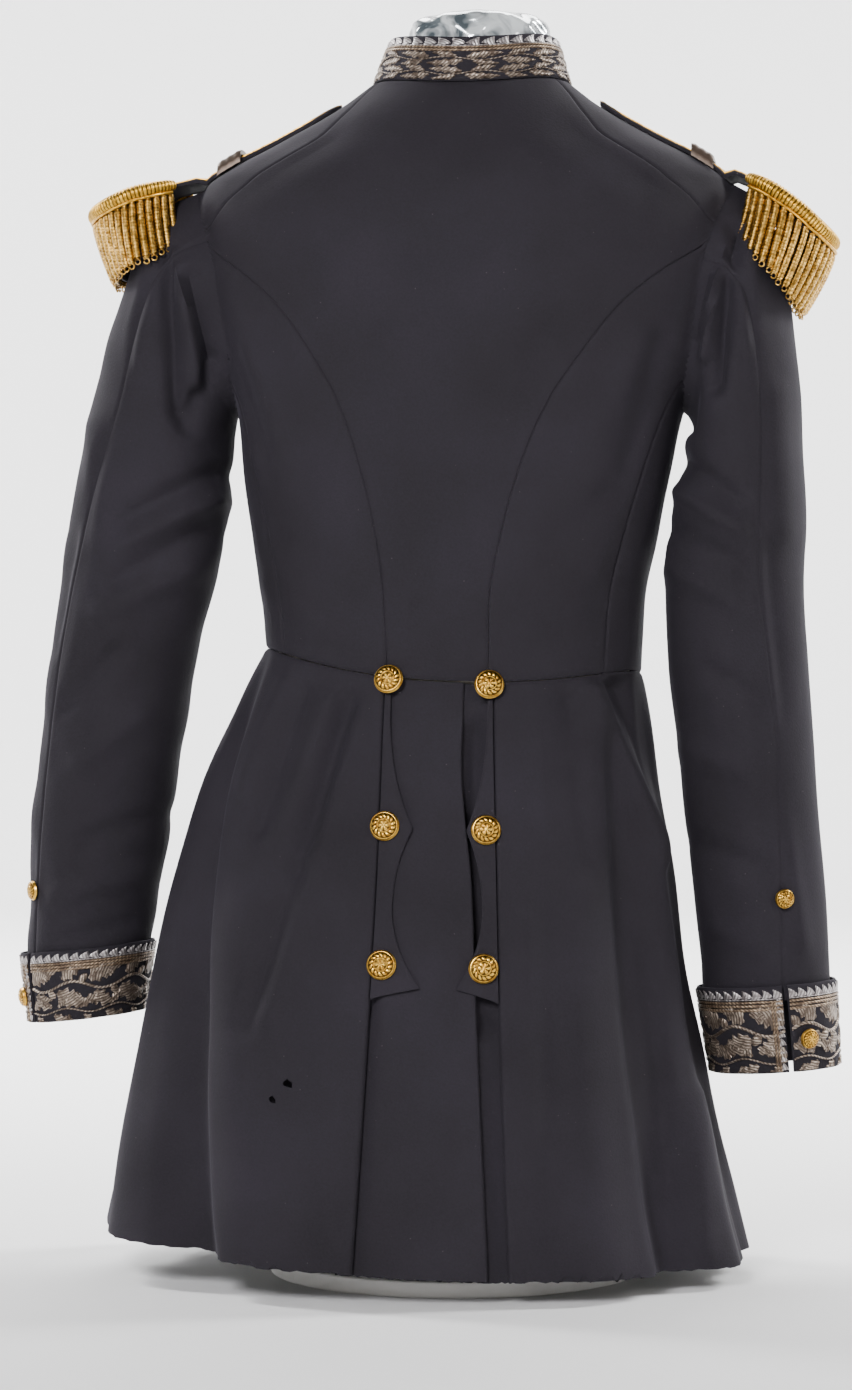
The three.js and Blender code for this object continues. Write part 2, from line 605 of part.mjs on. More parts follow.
const RIM_INSET = 0.35;
const RIM_SINK = 1;
const RIM_STAND = 1.4;
const RIM_LEVEL = 0.02;
const SLEEVE_LEVELS = [0, RIM_LEVEL, 0.06, 0.13, 0.21, 0.29, 0.38, 0.48, 0.58, 0.7, 0.84, 1];
for (const { hand, name } of HANDS) {
  const rows = SLEEVES[name];
  const first = rows[0].v;
  const sleeve = (turn, v) => {
    if (v >= first) return tubePoint(rows, turn, v);
    const rim = armholeAt(turn, RIM_INSET);
    const start = new THREE.Vector3(bodiceSideX(hand, rim.y, rim.z), rim.y, rim.z);
    if (v <= RIM_LEVEL) {
      start.x += hand * (RIM_STAND * v / RIM_LEVEL - RIM_SINK * (1 - v / RIM_LEVEL));
      return start;
    }
    start.x += hand * RIM_STAND;
    return start.lerp(tubePoint(rows, turn, first), (v - RIM_LEVEL) / (first - RIM_LEVEL));
  };
  const { outer, inner } = gridOf(sleeve, () => sleeveTurn, SLEEVE_LEVELS, hand, CLOTH);
  let tube = toManifold(wall(outer, inner, true));
  const hindarm = steps(-0.02, 1.02, 12).map((v) => [radians(along(HINDARM[name], 'v', v, 'turn')), v]);
  const forearm = steps(-0.02, 1.02, 10).map((v) => [radians(FOREARM_TURN), v]);
  tube = tube.subtract(blade(sleeve, hindarm, hand));
  tube = tube.subtract(blade(sleeve, forearm, hand));
  for (const part of tube.decompose()) {
    const box = part.boundingBox();
    const reach = hand < 0 ? -box.min[0] : box.max[0];
    const outermost = Math.max(...rows.map((row) => Math.abs(row.outerX)));
    const kind = Math.abs(reach - outermost) < 4 ? 'top_sleeve_' : 'under_sleeve_';
    piece(kind + name, fromManifold(part.simplify(FINEST)), WOOL);
  }
}

// Embroidery raised on the collar and cuffs: how far it stands out in even and in odd columns, from the
// edging inwards: saw teeth, a braid line, the main row of leaves, bare cloth and the lesser row of leaves.
const EMBROIDERY = [
  { v: 0.00, even: 0.3, odd: 0.3 }, { v: 0.07, even: 1.1, odd: 0.3 }, { v: 0.15, even: 0.3, odd: 0.3 },
  { v: 0.20, even: 1, odd: 1 }, { v: 0.27, even: 0.3, odd: 0.3 }, { v: 0.40, even: 1.2, odd: 0.5 },
  { v: 0.56, even: 0.5, odd: 1.2 }, { v: 0.68, even: 0.2, odd: 0.2 }, { v: 0.76, even: 0.2, odd: 0.2 },
  { v: 0.87, even: 1, odd: 0.4 }, { v: 1.00, even: 0.2, odd: 0.2 },
];

function embroideredStrip(surface, turns, side, thick) {
  const outer = EMBROIDERY.map((row) => turns.map((turn, i) => {
    const normal = normalAt(surface, turn, row.v, side);
    return surface(turn, row.v).addScaledVector(normal, i % 2 ? row.odd : row.even);
  }));
  const inner = [0, 1].map((v) => turns.map((turn) => {
    const normal = normalAt(surface, turn, v, side);
    return surface(turn, v).addScaledVector(normal, -thick);
  }));
  return raisedStrip(outer, inner);
}

// Cuffs: each goes round over the sleeve's end and is open along the hindarm seam
const CUFF_SLIT = 2.2;
for (const { hand, name } of HANDS) {
  const cuff = (turn, v) => tubePoint(CUFFS[name], turn, v);
  const vent = radians(along(HINDARM[name], 'v', 1, 'turn'));
  const turns = steps(vent + radians(CUFF_SLIT), vent + 2 * Math.PI - radians(CUFF_SLIT), 22);
  piece('cuff_' + name, embroideredStrip(cuff, turns, hand, CLOTH), SILVER_THREAD);
}

// Collar: stands on the neck seam and meets at the front
const neckLevel = levelAt(BODICE, 1);
const collar = (turn, v) => {
  const low = onLevel(neckLevel, turn);
  low.z += SEAM_GAP;
  return onLevel(COLLAR_TOP, turn).lerp(low, v);
};
const collarEnd = Math.PI - radians(COLLAR_OPENING / 2);
piece('collar', embroideredStrip(collar, steps(-collarEnd, collarEnd, 32), -1, CLOTH), SILVER_THREAD);

// Dress form: a smooth body under the bodice, a neck that shows above the collar, a pole and a round base
const formRing = (v) => wholeTurn.map((turn) => {
  const ease = FORM_EASE.most * Math.min(1, Math.max(0, (FORM_EASE.from - v) / FORM_EASE.over));
  const normal = normalAt(bodice, turn, v, 1);
  return bodice(turn, v).addScaledVector(normal, -(CLOTH + FORM_CLEAR + ease));
});
const formRings = FORM_LEVELS.map(formRing);
const formTop = formRings[formRings.length - 1];
piece('form_body', loft([wholeTurn.map((turn) => onLevel(FORM_FOOT, turn)), ...formRings]), FORM_CLOTH);
const topMiddle = formTop.reduce((sum, p) => sum.add(p), new THREE.Vector3()).divideScalar(formTop.length);
const neckLift = new THREE.Vector3(0, 0, LAY_GAP / 2);
const neckFoot = formTop.map((p) => p.clone().lerp(topMiddle, NECK_TAPER).add(neckLift));
const neckRings = NECK.map((ring) => wholeTurn.map((turn) => new THREE.Vector3(
  NECK_SHIFT + ring.half * Math.sin(turn), -ring.depth * Math.cos(turn), ring.z)));
piece('form_neck', loft([neckFoot, ...neckRings]), FILM);

function turned(profile, count) {
  return loft(profile.map(([radius, z]) => roundSteps(count)
    .map((turn) => new THREE.Vector3(radius * Math.cos(turn), radius * Math.sin(turn), z))));
}
const poleFoot = BASE.thick + SEAM_GAP;
piece('stand_pole', turned([[POLE_RADIUS, poleFoot], [POLE_RADIUS, FORM_FOOT.back - SEAM_GAP]], 16), IRON);
const baseProfile = [[BASE.radius, 0], [BASE.radius, BASE.thick - BASE.edge],
  [BASE.radius - BASE.edge, BASE.thick]];
piece('stand_base', turned(baseProfile, 24), WOOD);

// Epaulettes
// Height of the cloth at a place on the shoulder.
function shoulderHeight(x, y) {
  let low = 0.7;
  let high = 1;
  for (let i = 0; i < 30; i += 1) {
    const v = (low + high) / 2;
    const level = levelAt(BODICE, v);
    const depth = y < 0 ? level.behind : level.before;
    const fill = Math.abs((x - level.shift) / level.half) ** level.square + Math.abs(y / depth) ** level.square;
    if (fill < 1) low = v;
    else high = v;
  }
  const level = levelAt(BODICE, low);
  const depth = y < 0 ? level.behind : level.before;
  const sine = bend((x - level.shift) / level.half, level.square / 2);
  const cosine = bend(-y / depth, level.square / 2);
  return onLevel(level, Math.atan2(sine, cosine)).z;
}

const CROSS = [-1, -0.55, 0, 0.55, 1];
const ROLL_SIDES = 6;
for (const { hand, name } of HANDS) {
  const crescent = CRESCENT[name];
  const field = FIELD[name];
  const under = (out, y) => along(field, 'out', out, 'z') - EPAULETTE.fieldCrown * (y - EPAULETTE.middleY) ** 2;
  const strapAt = (v, away) => {
    const ridge = onLevel(levelAt(BODICE, v), hand * Math.PI / 2);
    const y = EPAULETTE.middleY + away;
    const crown = ridge.z + LAY_GAP - EPAULETTE.strapCrown * away ** 2;
    return new THREE.Vector3(ridge.x, y, Math.max(crown, shoulderHeight(ridge.x, y) + LAY_GAP));
  };
  const strapRows = STRAP.map((row) => CROSS.map((share) => strapAt(row.v, row.breadth * share)));
  const fieldRows = field.map((row) => CROSS.map((share) => {
    const y = EPAULETTE.middleY + row.breadth * share;
    return new THREE.Vector3(EPAULETTE.middleX + hand * row.out, y, under(row.out, y));
  }));
  const bottom = [...strapRows, ...fieldRows];
  const raise = (rows, rise) => rows.map((row) => row.map((p) => p.clone().add(new THREE.Vector3(0, 0, rise))));
  piece('epaulette_board_' + name, wall(raise(bottom, EPAULETTE.thick), bottom), WOOL);

  // The crescent: a wound roll round the field, open towards the neck
  const rim = (turn, inset = 0) => {
    const out = crescent.middle + (crescent.reach - inset) * Math.cos(turn);
    const y = EPAULETTE.middleY - (CRESCENT_BREADTH - inset) * Math.sin(turn);
    return new THREE.Vector3(EPAULETTE.middleX + hand * out, y, under(out, y) + EPAULETTE.thick / 2);
  };
  const sweep = radians(EPAULETTE.rollSweep);
  const rollRings = steps(-sweep, sweep, 18).map((turn) => {
    const middle = rim(turn);
    const run = rim(turn + 0.02).sub(rim(turn - 0.02)).normalize();
    const side = run.clone().cross(new THREE.Vector3(0, 0, 1)).normalize();
    const top = side.clone().cross(run).normalize();
    const taper = Math.min(1, (sweep - Math.abs(turn)) / 0.5);
    const radius = EPAULETTE.rollTip + (EPAULETTE.rollRadius - EPAULETTE.rollTip) * taper;
    return roundSteps(ROLL_SIDES).map((angle) => middle.clone()
      .addScaledVector(side, radius * Math.cos(angle)).addScaledVector(top, radius * Math.sin(angle)));
  });
  piece('epaulette_crescent_' + name, loft(rollRings), BULLION);

  // The fringe: strands that hang from a narrow strip under the roll
  const fringeSweep = radians(EPAULETTE.fringeSweep);
  const place = (turn, z, inward) => {
    const point = rim(turn, inward);
    const out = crescent.middle + crescent.reach * Math.cos(turn);
    const slope = (under(out + 1, 0) - under(out - 1, 0)) / 2;
    const below = EPAULETTE.rollRadius * Math.cos(Math.PI / ROLL_SIDES) + LAY_GAP;
    const drop = below * Math.hypot(1, EPAULETTE.rollTilt * slope);
    point.z = rim(turn).z - drop - z;
    return point;
  };
  const depth = EPAULETTE.strandDepth / 2;
  const stripTurns = steps(-fringeSweep, fringeSweep, 14);
  const [stripOuter, stripInner] = [-depth, depth].map((inward) => stripTurns
    .map((turn) => [0, EPAULETTE.rootHeight].map((down) => place(turn, down, inward))));
  let fringe = toManifold(wall(stripOuter, stripInner));
  for (const turn of steps(-fringeSweep * 0.97, fringeSweep * 0.97, EPAULETTE.strands - 1)) {
    const run = rim(turn + 0.02).sub(rim(turn - 0.02)).setZ(0).normalize();
    const across = new THREE.Vector3(run.y, -run.x, 0);
    const root = place(turn, 0, 0);
    const lean = rim(turn, -1).sub(rim(turn)).setZ(0).normalize().multiplyScalar(EPAULETTE.strandLean);
    const rings = [[1.5, 0.94], [EPAULETTE.strandLength, 0.84]].map(([down, size]) => {
      const wide = EPAULETTE.strandWidth / 2 * size;
      const deep = depth * size;
      const middle = root.clone().addScaledVector(lean, down / EPAULETTE.strandLength);
      return [[-1, -1], [1, -1], [1, 1], [-1, 1]].map(([i, j]) => middle.clone()
        .addScaledVector(run, i * wide).addScaledVector(across, j * deep).add(new THREE.Vector3(0, 0, -down)));
    });
    fringe = fringe.add(toManifold(loft(rings)));
  }
  piece('epaulette_fringe_' + name, fromManifold(fringe), BULLION);

  // The liner: a dark band inside the fringe, sewn under the field
  const linerEdge = (turn, inset) => {
    const point = rim(turn, EPAULETTE.linerInset + inset);
    point.z -= EPAULETTE.thick / 2 + LAY_GAP;
    return [point, point.clone().setZ(point.z - EPAULETTE.linerLength)];
  };
  const linerTurns = steps(-fringeSweep, fringeSweep, 12);
  const linerOuter = linerTurns.map((turn) => linerEdge(turn, 0));
  const linerInner = linerTurns.map((turn) => linerEdge(turn, EPAULETTE.linerThick));
  piece('epaulette_liner_' + name, wall(linerOuter, linerInner), WOOL);

  // The passant: an embroidered loop across the strap
  const passantRows = [PASSANT.from, PASSANT.to].map((v) => PASSANT.across.map((share) => {
    const point = strapAt(v, PASSANT.reach * share);
    if (Math.abs(share) < 1) point.z += EPAULETTE.thick + LAY_GAP;
    return point;
  }));
  piece('passant_' + name, wall(raise(passantRows, PASSANT.thick), passantRows), SILVER_THREAD);
}

// Buttons: gilt domes with a rim, each seated just clear of the highest cloth under it
function seat(middle, normal, radius, samples) {
  let highest = 0;
  for (const point of samples) {
    const offset = point.clone().sub(middle);
    const height = offset.dot(normal);
    if (offset.lengthSq() - height ** 2 < radius ** 2) highest = Math.max(highest, height);
  }
  return middle.clone().addScaledVector(normal, highest + LAY_GAP / 2 + 0.1);
}
// A place on a surface that runs straight from one of its levels to the next
function onFacets(surface, levels, a, b) {
  const next = Math.max(1, levels.findIndex((level, i) => level >= b || i === levels.length - 1));
  const share = (b - levels[next - 1]) / (levels[next] - levels[next - 1]);
  return surface(a, levels[next - 1]).lerp(surface(a, levels[next]), share);
}
const buttonShape = ({ radius, height }) => turned([[radius * 0.96, 0], [radius, 1.4],
  [radius * 0.72, height * 0.74], [radius * 0.34, height]], 8);
const spread = steps(-1, 1, 6);

BACK_BUTTON_X.forEach((x, side) => {
  BACK_BUTTON_HEIGHTS.forEach((z, row) => {
    const v = levelAtHeight(Math.min(z, SKIRT[0].back - 3));
    const middle = skirt(angleAtX(v, x), v);
    const normal = normalAt(skirt, angleAtX(v, x), v, -1);
    const reach = COAT_BUTTON.radius;
    const samples = [];
    for (const i of spread) {
      for (const j of spread) {
        samples.push(skirt(angleAtX(v, x + i * reach), Math.max(0, v + j * reach / 430)));
        samples.push(bodice(angleAtX(0, x + i * reach), Math.abs(j) * 0.025));
      }
    }
    const name = 'back_button_' + HANDS[side].name + '_' + (row + 1);
    piece(name, buttonShape(COAT_BUTTON), GILT, { point: seat(middle, normal, reach, samples), normal });
  });
});

const BUTTON_SPAN = { turn: 0.09, level: 0.025 };
const FRONT_BUTTONS = { count: 8, lowest: 0.045, highest: 0.94 };
steps(FRONT_BUTTONS.lowest, FRONT_BUTTONS.highest, FRONT_BUTTONS.count - 1).forEach((v, i) => {
  const normal = normalAt(bodice, Math.PI, v, 1);
  const middle = onFacets(bodice, BODICE_LEVELS, Math.PI, v);
  const samples = spread.flatMap((a) => spread
    .map((b) => onFacets(bodice, BODICE_LEVELS, Math.PI + a * BUTTON_SPAN.turn, v + b * BUTTON_SPAN.level)));
  const point = seat(middle, normal, COAT_BUTTON.radius, samples);
  piece('front_button_' + (i + 1), buttonShape(COAT_BUTTON), GILT, { point, normal });
});

// Cuff buttons: one on the sleeve just above the cuff, one on the cuff, beside the slit
const CUFF_SPAN = { turn: 0.2, level: 0.04 };
const CUFF_BUTTON_TURNS = { left: [34, 26], right: [66, 56] };
for (const { hand, name } of HANDS) {
  const sleeve = (turn, v) => tubePoint(SLEEVES[name], turn, v);
  const cuff = (turn, v) => tubePoint(CUFFS[name], turn, v);
  const places = [
    { surface: sleeve, levels: SLEEVE_LEVELS, v: 0.91, rise: 0 },
    { surface: cuff, levels: [0, 1], v: 0.62, rise: 1.2 },
  ];
  places.forEach(({ surface, levels, v, rise }, i) => {
    const turn = radians(CUFF_BUTTON_TURNS[name][i]);
    const normal = normalAt(surface, turn, v, hand);
    const spot = (a, b) => onFacets(surface, levels, turn + a, v + b).addScaledVector(normal, rise);
    const middle = spot(0, 0);
    const samples = spread.flatMap((a) => spread.map((b) => spot(a * CUFF_SPAN.turn, b * CUFF_SPAN.level)));
    const point = seat(middle, normal, CUFF_BUTTON.radius, samples);
    piece('cuff_button_' + name + '_' + (i + 1), buttonShape(CUFF_BUTTON), GILT, { point, normal });
  });
}

export default garment;
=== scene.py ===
import math
import random

import bmesh
import bpy
import numpy as np
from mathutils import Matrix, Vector


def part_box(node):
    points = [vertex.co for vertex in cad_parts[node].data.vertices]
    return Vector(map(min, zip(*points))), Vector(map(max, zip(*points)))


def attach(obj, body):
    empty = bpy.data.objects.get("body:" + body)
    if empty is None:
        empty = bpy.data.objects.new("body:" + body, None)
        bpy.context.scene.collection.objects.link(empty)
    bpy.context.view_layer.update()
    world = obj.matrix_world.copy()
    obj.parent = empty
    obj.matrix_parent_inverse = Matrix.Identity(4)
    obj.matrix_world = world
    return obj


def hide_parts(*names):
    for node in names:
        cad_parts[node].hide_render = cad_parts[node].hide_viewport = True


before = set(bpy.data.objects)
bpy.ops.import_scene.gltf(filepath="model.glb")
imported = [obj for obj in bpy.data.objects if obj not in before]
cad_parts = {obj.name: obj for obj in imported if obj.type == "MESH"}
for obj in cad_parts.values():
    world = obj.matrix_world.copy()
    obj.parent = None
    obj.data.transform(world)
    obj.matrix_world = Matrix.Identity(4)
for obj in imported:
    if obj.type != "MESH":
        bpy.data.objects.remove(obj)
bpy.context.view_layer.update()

# Stand: a round base of beech, limed white, with a turned edge, and an iron pole in a flange that is screwed
# to it. The pole runs up inside the form.
MM = 0.001


def linear(hex_colour):
    """The linear colour of an sRGB hex value."""
    parts = [int(hex_colour[i:i + 2], 16) / 255 for i in (1, 3, 5)]
    return [p / 12.92 if p <= 0.04045 else ((p + 0.055) / 1.055) ** 2.4 for p in parts] + [1.0]


def add_node(tree, kind, settings=None, inputs=None):
    """Adds a node, with its settings, and with a value or a link for each input."""
    made = tree.nodes.new(kind)
    for name, value in (settings or {}).items():
        setattr(made, name, value)
    for name, value in (inputs or {}).items():
        if isinstance(value, bpy.types.NodeSocket):
            tree.links.new(value, made.inputs[name])
        else:
            made.inputs[name].default_value = value
    return made


def new_material(name, **shader):
    """A material with its Principled shader, whose plain sockets are given by name."""
    material = bpy.data.materials.new(name)
    material.use_nodes = True
    surface = material.node_tree.nodes["Principled BSDF"]
    for socket, value in shader.items():
        surface.inputs[socket.replace("_", " ")].default_value = value
    return material, material.node_tree, surface


def two_tones(tree, factor, low, high):
    """A colour between two hex values, by a factor."""
    return add_node(tree, "ShaderNodeMix", {"data_type": "RGBA"},
                    {0: factor, 6: linear(low), 7: linear(high)}).outputs[2]


def limed_beech():
    # Beech rubbed with white lime under matt varnish: near white, with fine straight grain that hardly shows.
    material, tree, surface = new_material("limed_beech", Roughness=0.6)
    place = add_node(tree, "ShaderNodeTexCoord").outputs["Object"]
    stretched = add_node(tree, "ShaderNodeMapping", None, {"Vector": place, "Scale": (1, 12, 12)})
    grain = add_node(tree, "ShaderNodeTexNoise", None, {"Vector": stretched.outputs[0], "Scale": 14.0})
    tree.links.new(two_tones(tree, grain.outputs[0], "#dedbd5", "#eeece8"), surface.inputs["Base Color"])
    return material


def black_paint():
    # Iron under black stove paint: half gloss, with the slight orange peel of a brushed coat.
    material, tree, surface = new_material("black_stove_paint", Roughness=0.35, Metallic=0.0)
    surface.inputs["Base Color"].default_value = linear("#1d1e20")
    place = add_node(tree, "ShaderNodeTexCoord").outputs["Object"]
    peel = add_node(tree, "ShaderNodeTexNoise", None, {"Vector": place, "Scale": 400.0})
    bump = add_node(tree, "ShaderNodeBump", None, {"Height": peel.outputs[0], "Distance": 0.0001})
    tree.links.new(bump.outputs[0], surface.inputs["Normal"])
    return material


def finish_piece(piece, slot, material, *nodes):
    """A finished piece: its material, the solids it stands for, and the body it rides on."""
    piece.data.materials.append(material)
    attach(piece, "root")
    if nodes:
        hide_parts(*nodes)
    return piece


def settle(piece, edge_angle=35):
    """Puts a piece's place into its mesh and shades it smooth but for its edges."""
    bpy.ops.object.select_all(action="DESELECT")
    piece.select_set(True)
    bpy.context.view_layer.objects.active = piece
    bpy.ops.object.transform_apply(location=True, rotation=True, scale=True)
    bpy.ops.object.shade_smooth_by_angle(angle=math.radians(edge_angle))


def bevelled(piece, width, segments=3):
    """Rounds the sharp edges of a piece."""
    bevel = piece.modifiers.new("round", "BEVEL")
    bevel.width = width
    bevel.segments = segments
    bevel.limit_method = "ANGLE"
    bpy.context.view_layer.objects.active = piece
    bpy.ops.object.modifier_apply(modifier=bevel.name)


def cylinder(name, radius, height, foot, sides):
    """A cylinder that stands at a height, in edit mode with only its top face selected."""
    bpy.ops.object.select_all(action="DESELECT")
    bpy.ops.mesh.primitive_cylinder_add(
        vertices=sides, radius=radius, depth=height, location=(0, 0, foot + height / 2))
    piece = bpy.context.object
    piece.name = name
    bpy.ops.object.mode_set(mode="EDIT")
    bm = bmesh.from_edit_mesh(piece.data)
    for face in bm.faces:
        face.select_set(face.normal.z > 0.9)
    bmesh.update_edit_mesh(piece.data)
    return piece


base_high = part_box("stand_base")[1]
pole_low, pole_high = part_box("stand_pole")
BASE_RADIUS = 0.140
BASE_EDGE = {"flat": 0.006, "slope": 0.004, "sink": 0.0015, "round": 0.0015}
POLE_RADIUS = 0.014
POLE_ROUND = 0.0012
FLANGE = {"radius": 0.032, "height": 0.005}

base = cylinder("round_base", BASE_RADIUS, base_high.z, 0, 120)
bpy.ops.mesh.inset(thickness=BASE_EDGE["flat"], depth=0)
bpy.ops.mesh.inset(thickness=BASE_EDGE["slope"], depth=-BASE_EDGE["sink"])
bpy.ops.object.mode_set(mode="OBJECT")
settle(base)
bevelled(base, BASE_EDGE["round"])
finish_piece(base, "limed_wood", limed_beech(), "stand_base")

pole = cylinder("iron_pole", FLANGE["radius"], FLANGE["height"], pole_low.z, 48)
bpy.ops.mesh.inset(thickness=FLANGE["radius"] - POLE_RADIUS, depth=0)
bpy.ops.mesh.extrude_region_move(
    TRANSFORM_OT_translate={"value": (0, 0, pole_high.z - pole_low.z - FLANGE["height"])})
bpy.ops.object.mode_set(mode="OBJECT")
settle(pole)
bevelled(pole, POLE_ROUND)
finish_piece(pole, "painted_iron", black_paint(), "stand_pole")


# Dress form: a padded shell covered with stretched cotton, cut off straight below the waist. Its neck is
# wrapped in clear film, which is crumpled over white padding and shows above the collar.
def stretched_cotton():
    # Unbleached cotton stretched over padding: an even off-white, its 0.6 mm threads a fine roughness.
    material, tree, surface = new_material("stretched_cotton", Roughness=0.9, Sheen_Weight=0.2)
    place = add_node(tree, "ShaderNodeTexCoord").outputs["Object"]
    cloud = add_node(tree, "ShaderNodeTexNoise", None, {"Vector": place, "Scale": 25.0})
    tree.links.new(two_tones(tree, cloud.outputs[0], "#b9b1a1", "#d2cbbd"), surface.inputs["Base Color"])
    weave = add_node(tree, "ShaderNodeTexNoise", None, {"Vector": place, "Scale": 1500.0})
    bump = add_node(tree, "ShaderNodeBump", None, {"Height": weave.outputs[0], "Distance": 0.0002})
    tree.links.new(bump.outputs[0], surface.inputs["Normal"])
    return material


def crumpled_film():
    # Clear polythene film over white padding: it reads as silvery. The sharp bright and grey patches in its
    # colour are painted reflections of the crumpled facets.
    material, tree, surface = new_material(
        "crumpled_clear_film", Metallic=0.35, Roughness=0.12, Coat_Weight=0.6, Coat_Roughness=0.05)
    place = add_node(tree, "ShaderNodeTexCoord").outputs["Object"]
    reflection_patches = add_node(tree, "ShaderNodeTexNoise", None,
                       {"Vector": place, "Scale": 44.0, "Detail": 2.0, "Distortion": 1.6})
    sharper = add_node(tree, "ShaderNodeMapRange", None,
                       {0: reflection_patches.outputs[0], 1: 0.38, 2: 0.62})
    tree.links.new(two_tones(tree, sharper.outputs[0], "#4e575c", "#d5dadb"), surface.inputs["Base Color"])
    return material


def table(names, rows):
    """Named columns, each an array down the rows. The first column is what the rows are found by."""
    return {name: np.array([row[i] for row in rows], float) for i, name in enumerate(names)}


def along(rows, at, column):
    """Values between the rows of a table: a smooth curve that keeps rising or falling rows so."""
    key = next(iter(rows.values()))
    value = rows[column]
    at = np.asarray(at, float)
    slope = np.diff(value) / np.diff(key)
    both = slope[:-1] * slope[1:]
    total = slope[:-1] + slope[1:]
    inner = np.where(both <= 0, 0, 2 * both / np.where(total == 0, 1, total))
    tangent = np.concatenate([slope[:1], inner, slope[-1:]])
    i = np.clip(np.searchsorted(key, at, side="right") - 1, 0, len(key) - 2)
    span = key[i + 1] - key[i]
    t = (at - key[i]) / span
    rest = 1 - t
    found = (value[i] * rest * rest * (1 + 2 * t) + value[i + 1] * t * t * (3 - 2 * t)
             + tangent[i] * span * t * rest * rest - tangent[i + 1] * span * t * t * rest)
    found = np.where(at < key[0], value[0] + tangent[0] * (at - key[0]), found)
    return np.where(at >= key[-1], value[-1] + tangent[-1] * (at - key[-1]), found)


def mesh_piece(name, points, faces, edge_angle=50, uv=None):
    """A mesh of points in millimetres. Its edges sharper than the angle stay crisp."""
    mesh = bpy.data.meshes.new(name)
    mesh.from_pydata(np.asarray(points) * MM, [], faces)
    mesh.update()
    mesh.shade_smooth()
    mesh.set_sharp_from_angle(angle=math.radians(edge_angle))
    if uv is not None:
        layer = mesh.uv_layers.new(name="UVMap")
        corner = np.zeros(len(mesh.loops), int)
        mesh.loops.foreach_get("vertex_index", corner)
        layer.data.foreach_set("uv", np.asarray(uv, np.float32)[corner].ravel())
    piece = bpy.data.objects.new(name, mesh)
    bpy.context.scene.collection.objects.link(piece)
    return piece


def ring_faces(rows, columns):
    """Quads between closed rings of points, and a face over each end."""
    faces = [(r * columns + c, r * columns + (c + 1) % columns,
              (r + 1) * columns + (c + 1) % columns, (r + 1) * columns + c)
             for r in range(rows - 1) for c in range(columns)]
    last = (rows - 1) * columns
    faces.append(tuple(range(columns - 1, -1, -1)))
    faces.append(tuple(range(last, last + columns)))
    return faces


form_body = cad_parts["form_body"].data
form_body.materials.clear()
form_body.materials.append(stretched_cotton())

NECK = table(["z", "half", "depth"], [
    [872, 47, 36], [895, 52, 44], [912, 55, 47], [932, 56, 48], [944, 53, 45.5], [950, 44, 38],
    [953, 26, 22]])
NECK_SHIFT = 19
NECK_ROWS = 46
NECK_COLUMNS = 120
turns = np.linspace(0, 2 * math.pi, NECK_COLUMNS + 1)[:-1]
neck_rings = []
for z in np.linspace(NECK["z"][0], NECK["z"][-1], NECK_ROWS):
    half = along(NECK, z, "half")
    depth = along(NECK, z, "depth")
    # Film gathers into flat facets with creases between them, so the ring is cut into uneven chords.
    facets = (1.6 * np.abs(np.sin(3.5 * turns + z / 9)) + 1.1 * np.abs(np.sin(5.5 * turns - z / 6 + 1))
              + 0.8 * np.sin(11 * turns + z / 4))
    x = NECK_SHIFT + (half - facets) * np.sin(turns)
    y = -(depth - facets) * np.cos(turns)
    neck_rings.append(np.stack([x, y, z + 0.6 * np.sin(4 * turns + z / 5)], axis=1))
neck = mesh_piece("film_neck", np.concatenate(neck_rings), ring_faces(NECK_ROWS, NECK_COLUMNS), edge_angle=24)
finish_piece(neck, "clear_film", crumpled_film(), "form_neck")


# Bodice: five pieces of milled broadcloth with plain pressed seams. The back is one piece between two curved
# seams, the side bodies reach to the side seams, and the foreparts carry the shoulders and lap at the front.
LEVEL = ["v", "back", "right", "front", "left", "half", "behind", "before", "shift", "square"]
BODICE = table(LEVEL, [
    [0.00, 449, 455, 431, 472, 142.5, 104, 98, -1, 2.2],
    [0.12, 505, 509, 492, 516, 146.5, 107, 103, -2, 2.2],
    [0.25, 562, 562, 552, 564, 155, 113, 112, 0, 2.25],
    [0.37, 614, 612, 606, 614, 163, 117.5, 121, 1.5, 2.3],
    [0.46, 654, 650, 648, 652, 169, 120, 126, 3.5, 2.35],
    [0.56, 700, 697, 692, 699, 186, 119.5, 126, 5.5, 2.4],
    [0.65, 740, 739, 728, 739, 198, 117, 121, 7, 2.4],
    [0.73, 772, 775, 758, 775, 203, 112, 114, 8, 2.35],
    [0.80, 800, 804, 784, 804, 206, 106, 108, 8.5, 2.3],
    [0.86, 820, 821, 800, 821, 200, 100, 102, 9, 2.25],
    [0.90, 838, 835, 815, 835, 180, 93, 94, 10, 2.2],
    [0.94, 857, 851, 833, 851, 148, 83, 84, 11, 2.15],
    [0.97, 876, 871, 850, 871, 112, 73, 72, 12, 2.1],
    [1.00, 894, 897, 866, 897, 75, 62, 60, 13, 2],
])
BACK_SEAM = table(["v", "turn"], [
    [-0.05, 13.3], [0.12, 13.5], [0.25, 15.5], [0.395, 20.3], [0.52, 28], [0.615, 37], [0.67, 47.5],
    [0.71, 61], [0.74, 75]])
SIDE_SEAM = table(["v", "turn"], [[-0.05, 55], [0.2, 58], [0.4, 66], [0.56, 80]])
SHOULDER_SEAM = table(["v", "turn"], [
    [0.735, 74], [0.775, 61], [0.83, 51.5], [0.88, 46], [0.935, 42], [0.965, 48], [1, 62], [1.015, 66]])
SEAMS_MEET = 0.7375
SIDE_SEAM_TOP = 0.56
FRONT_LAP = 20
ARMHOLE = {"y": 4, "z": 736.5, "depth": 66, "height": 86.5}
CLOTH = 2.0
SEAM_SINK = 0.9
SEAM_REACH = 1.5


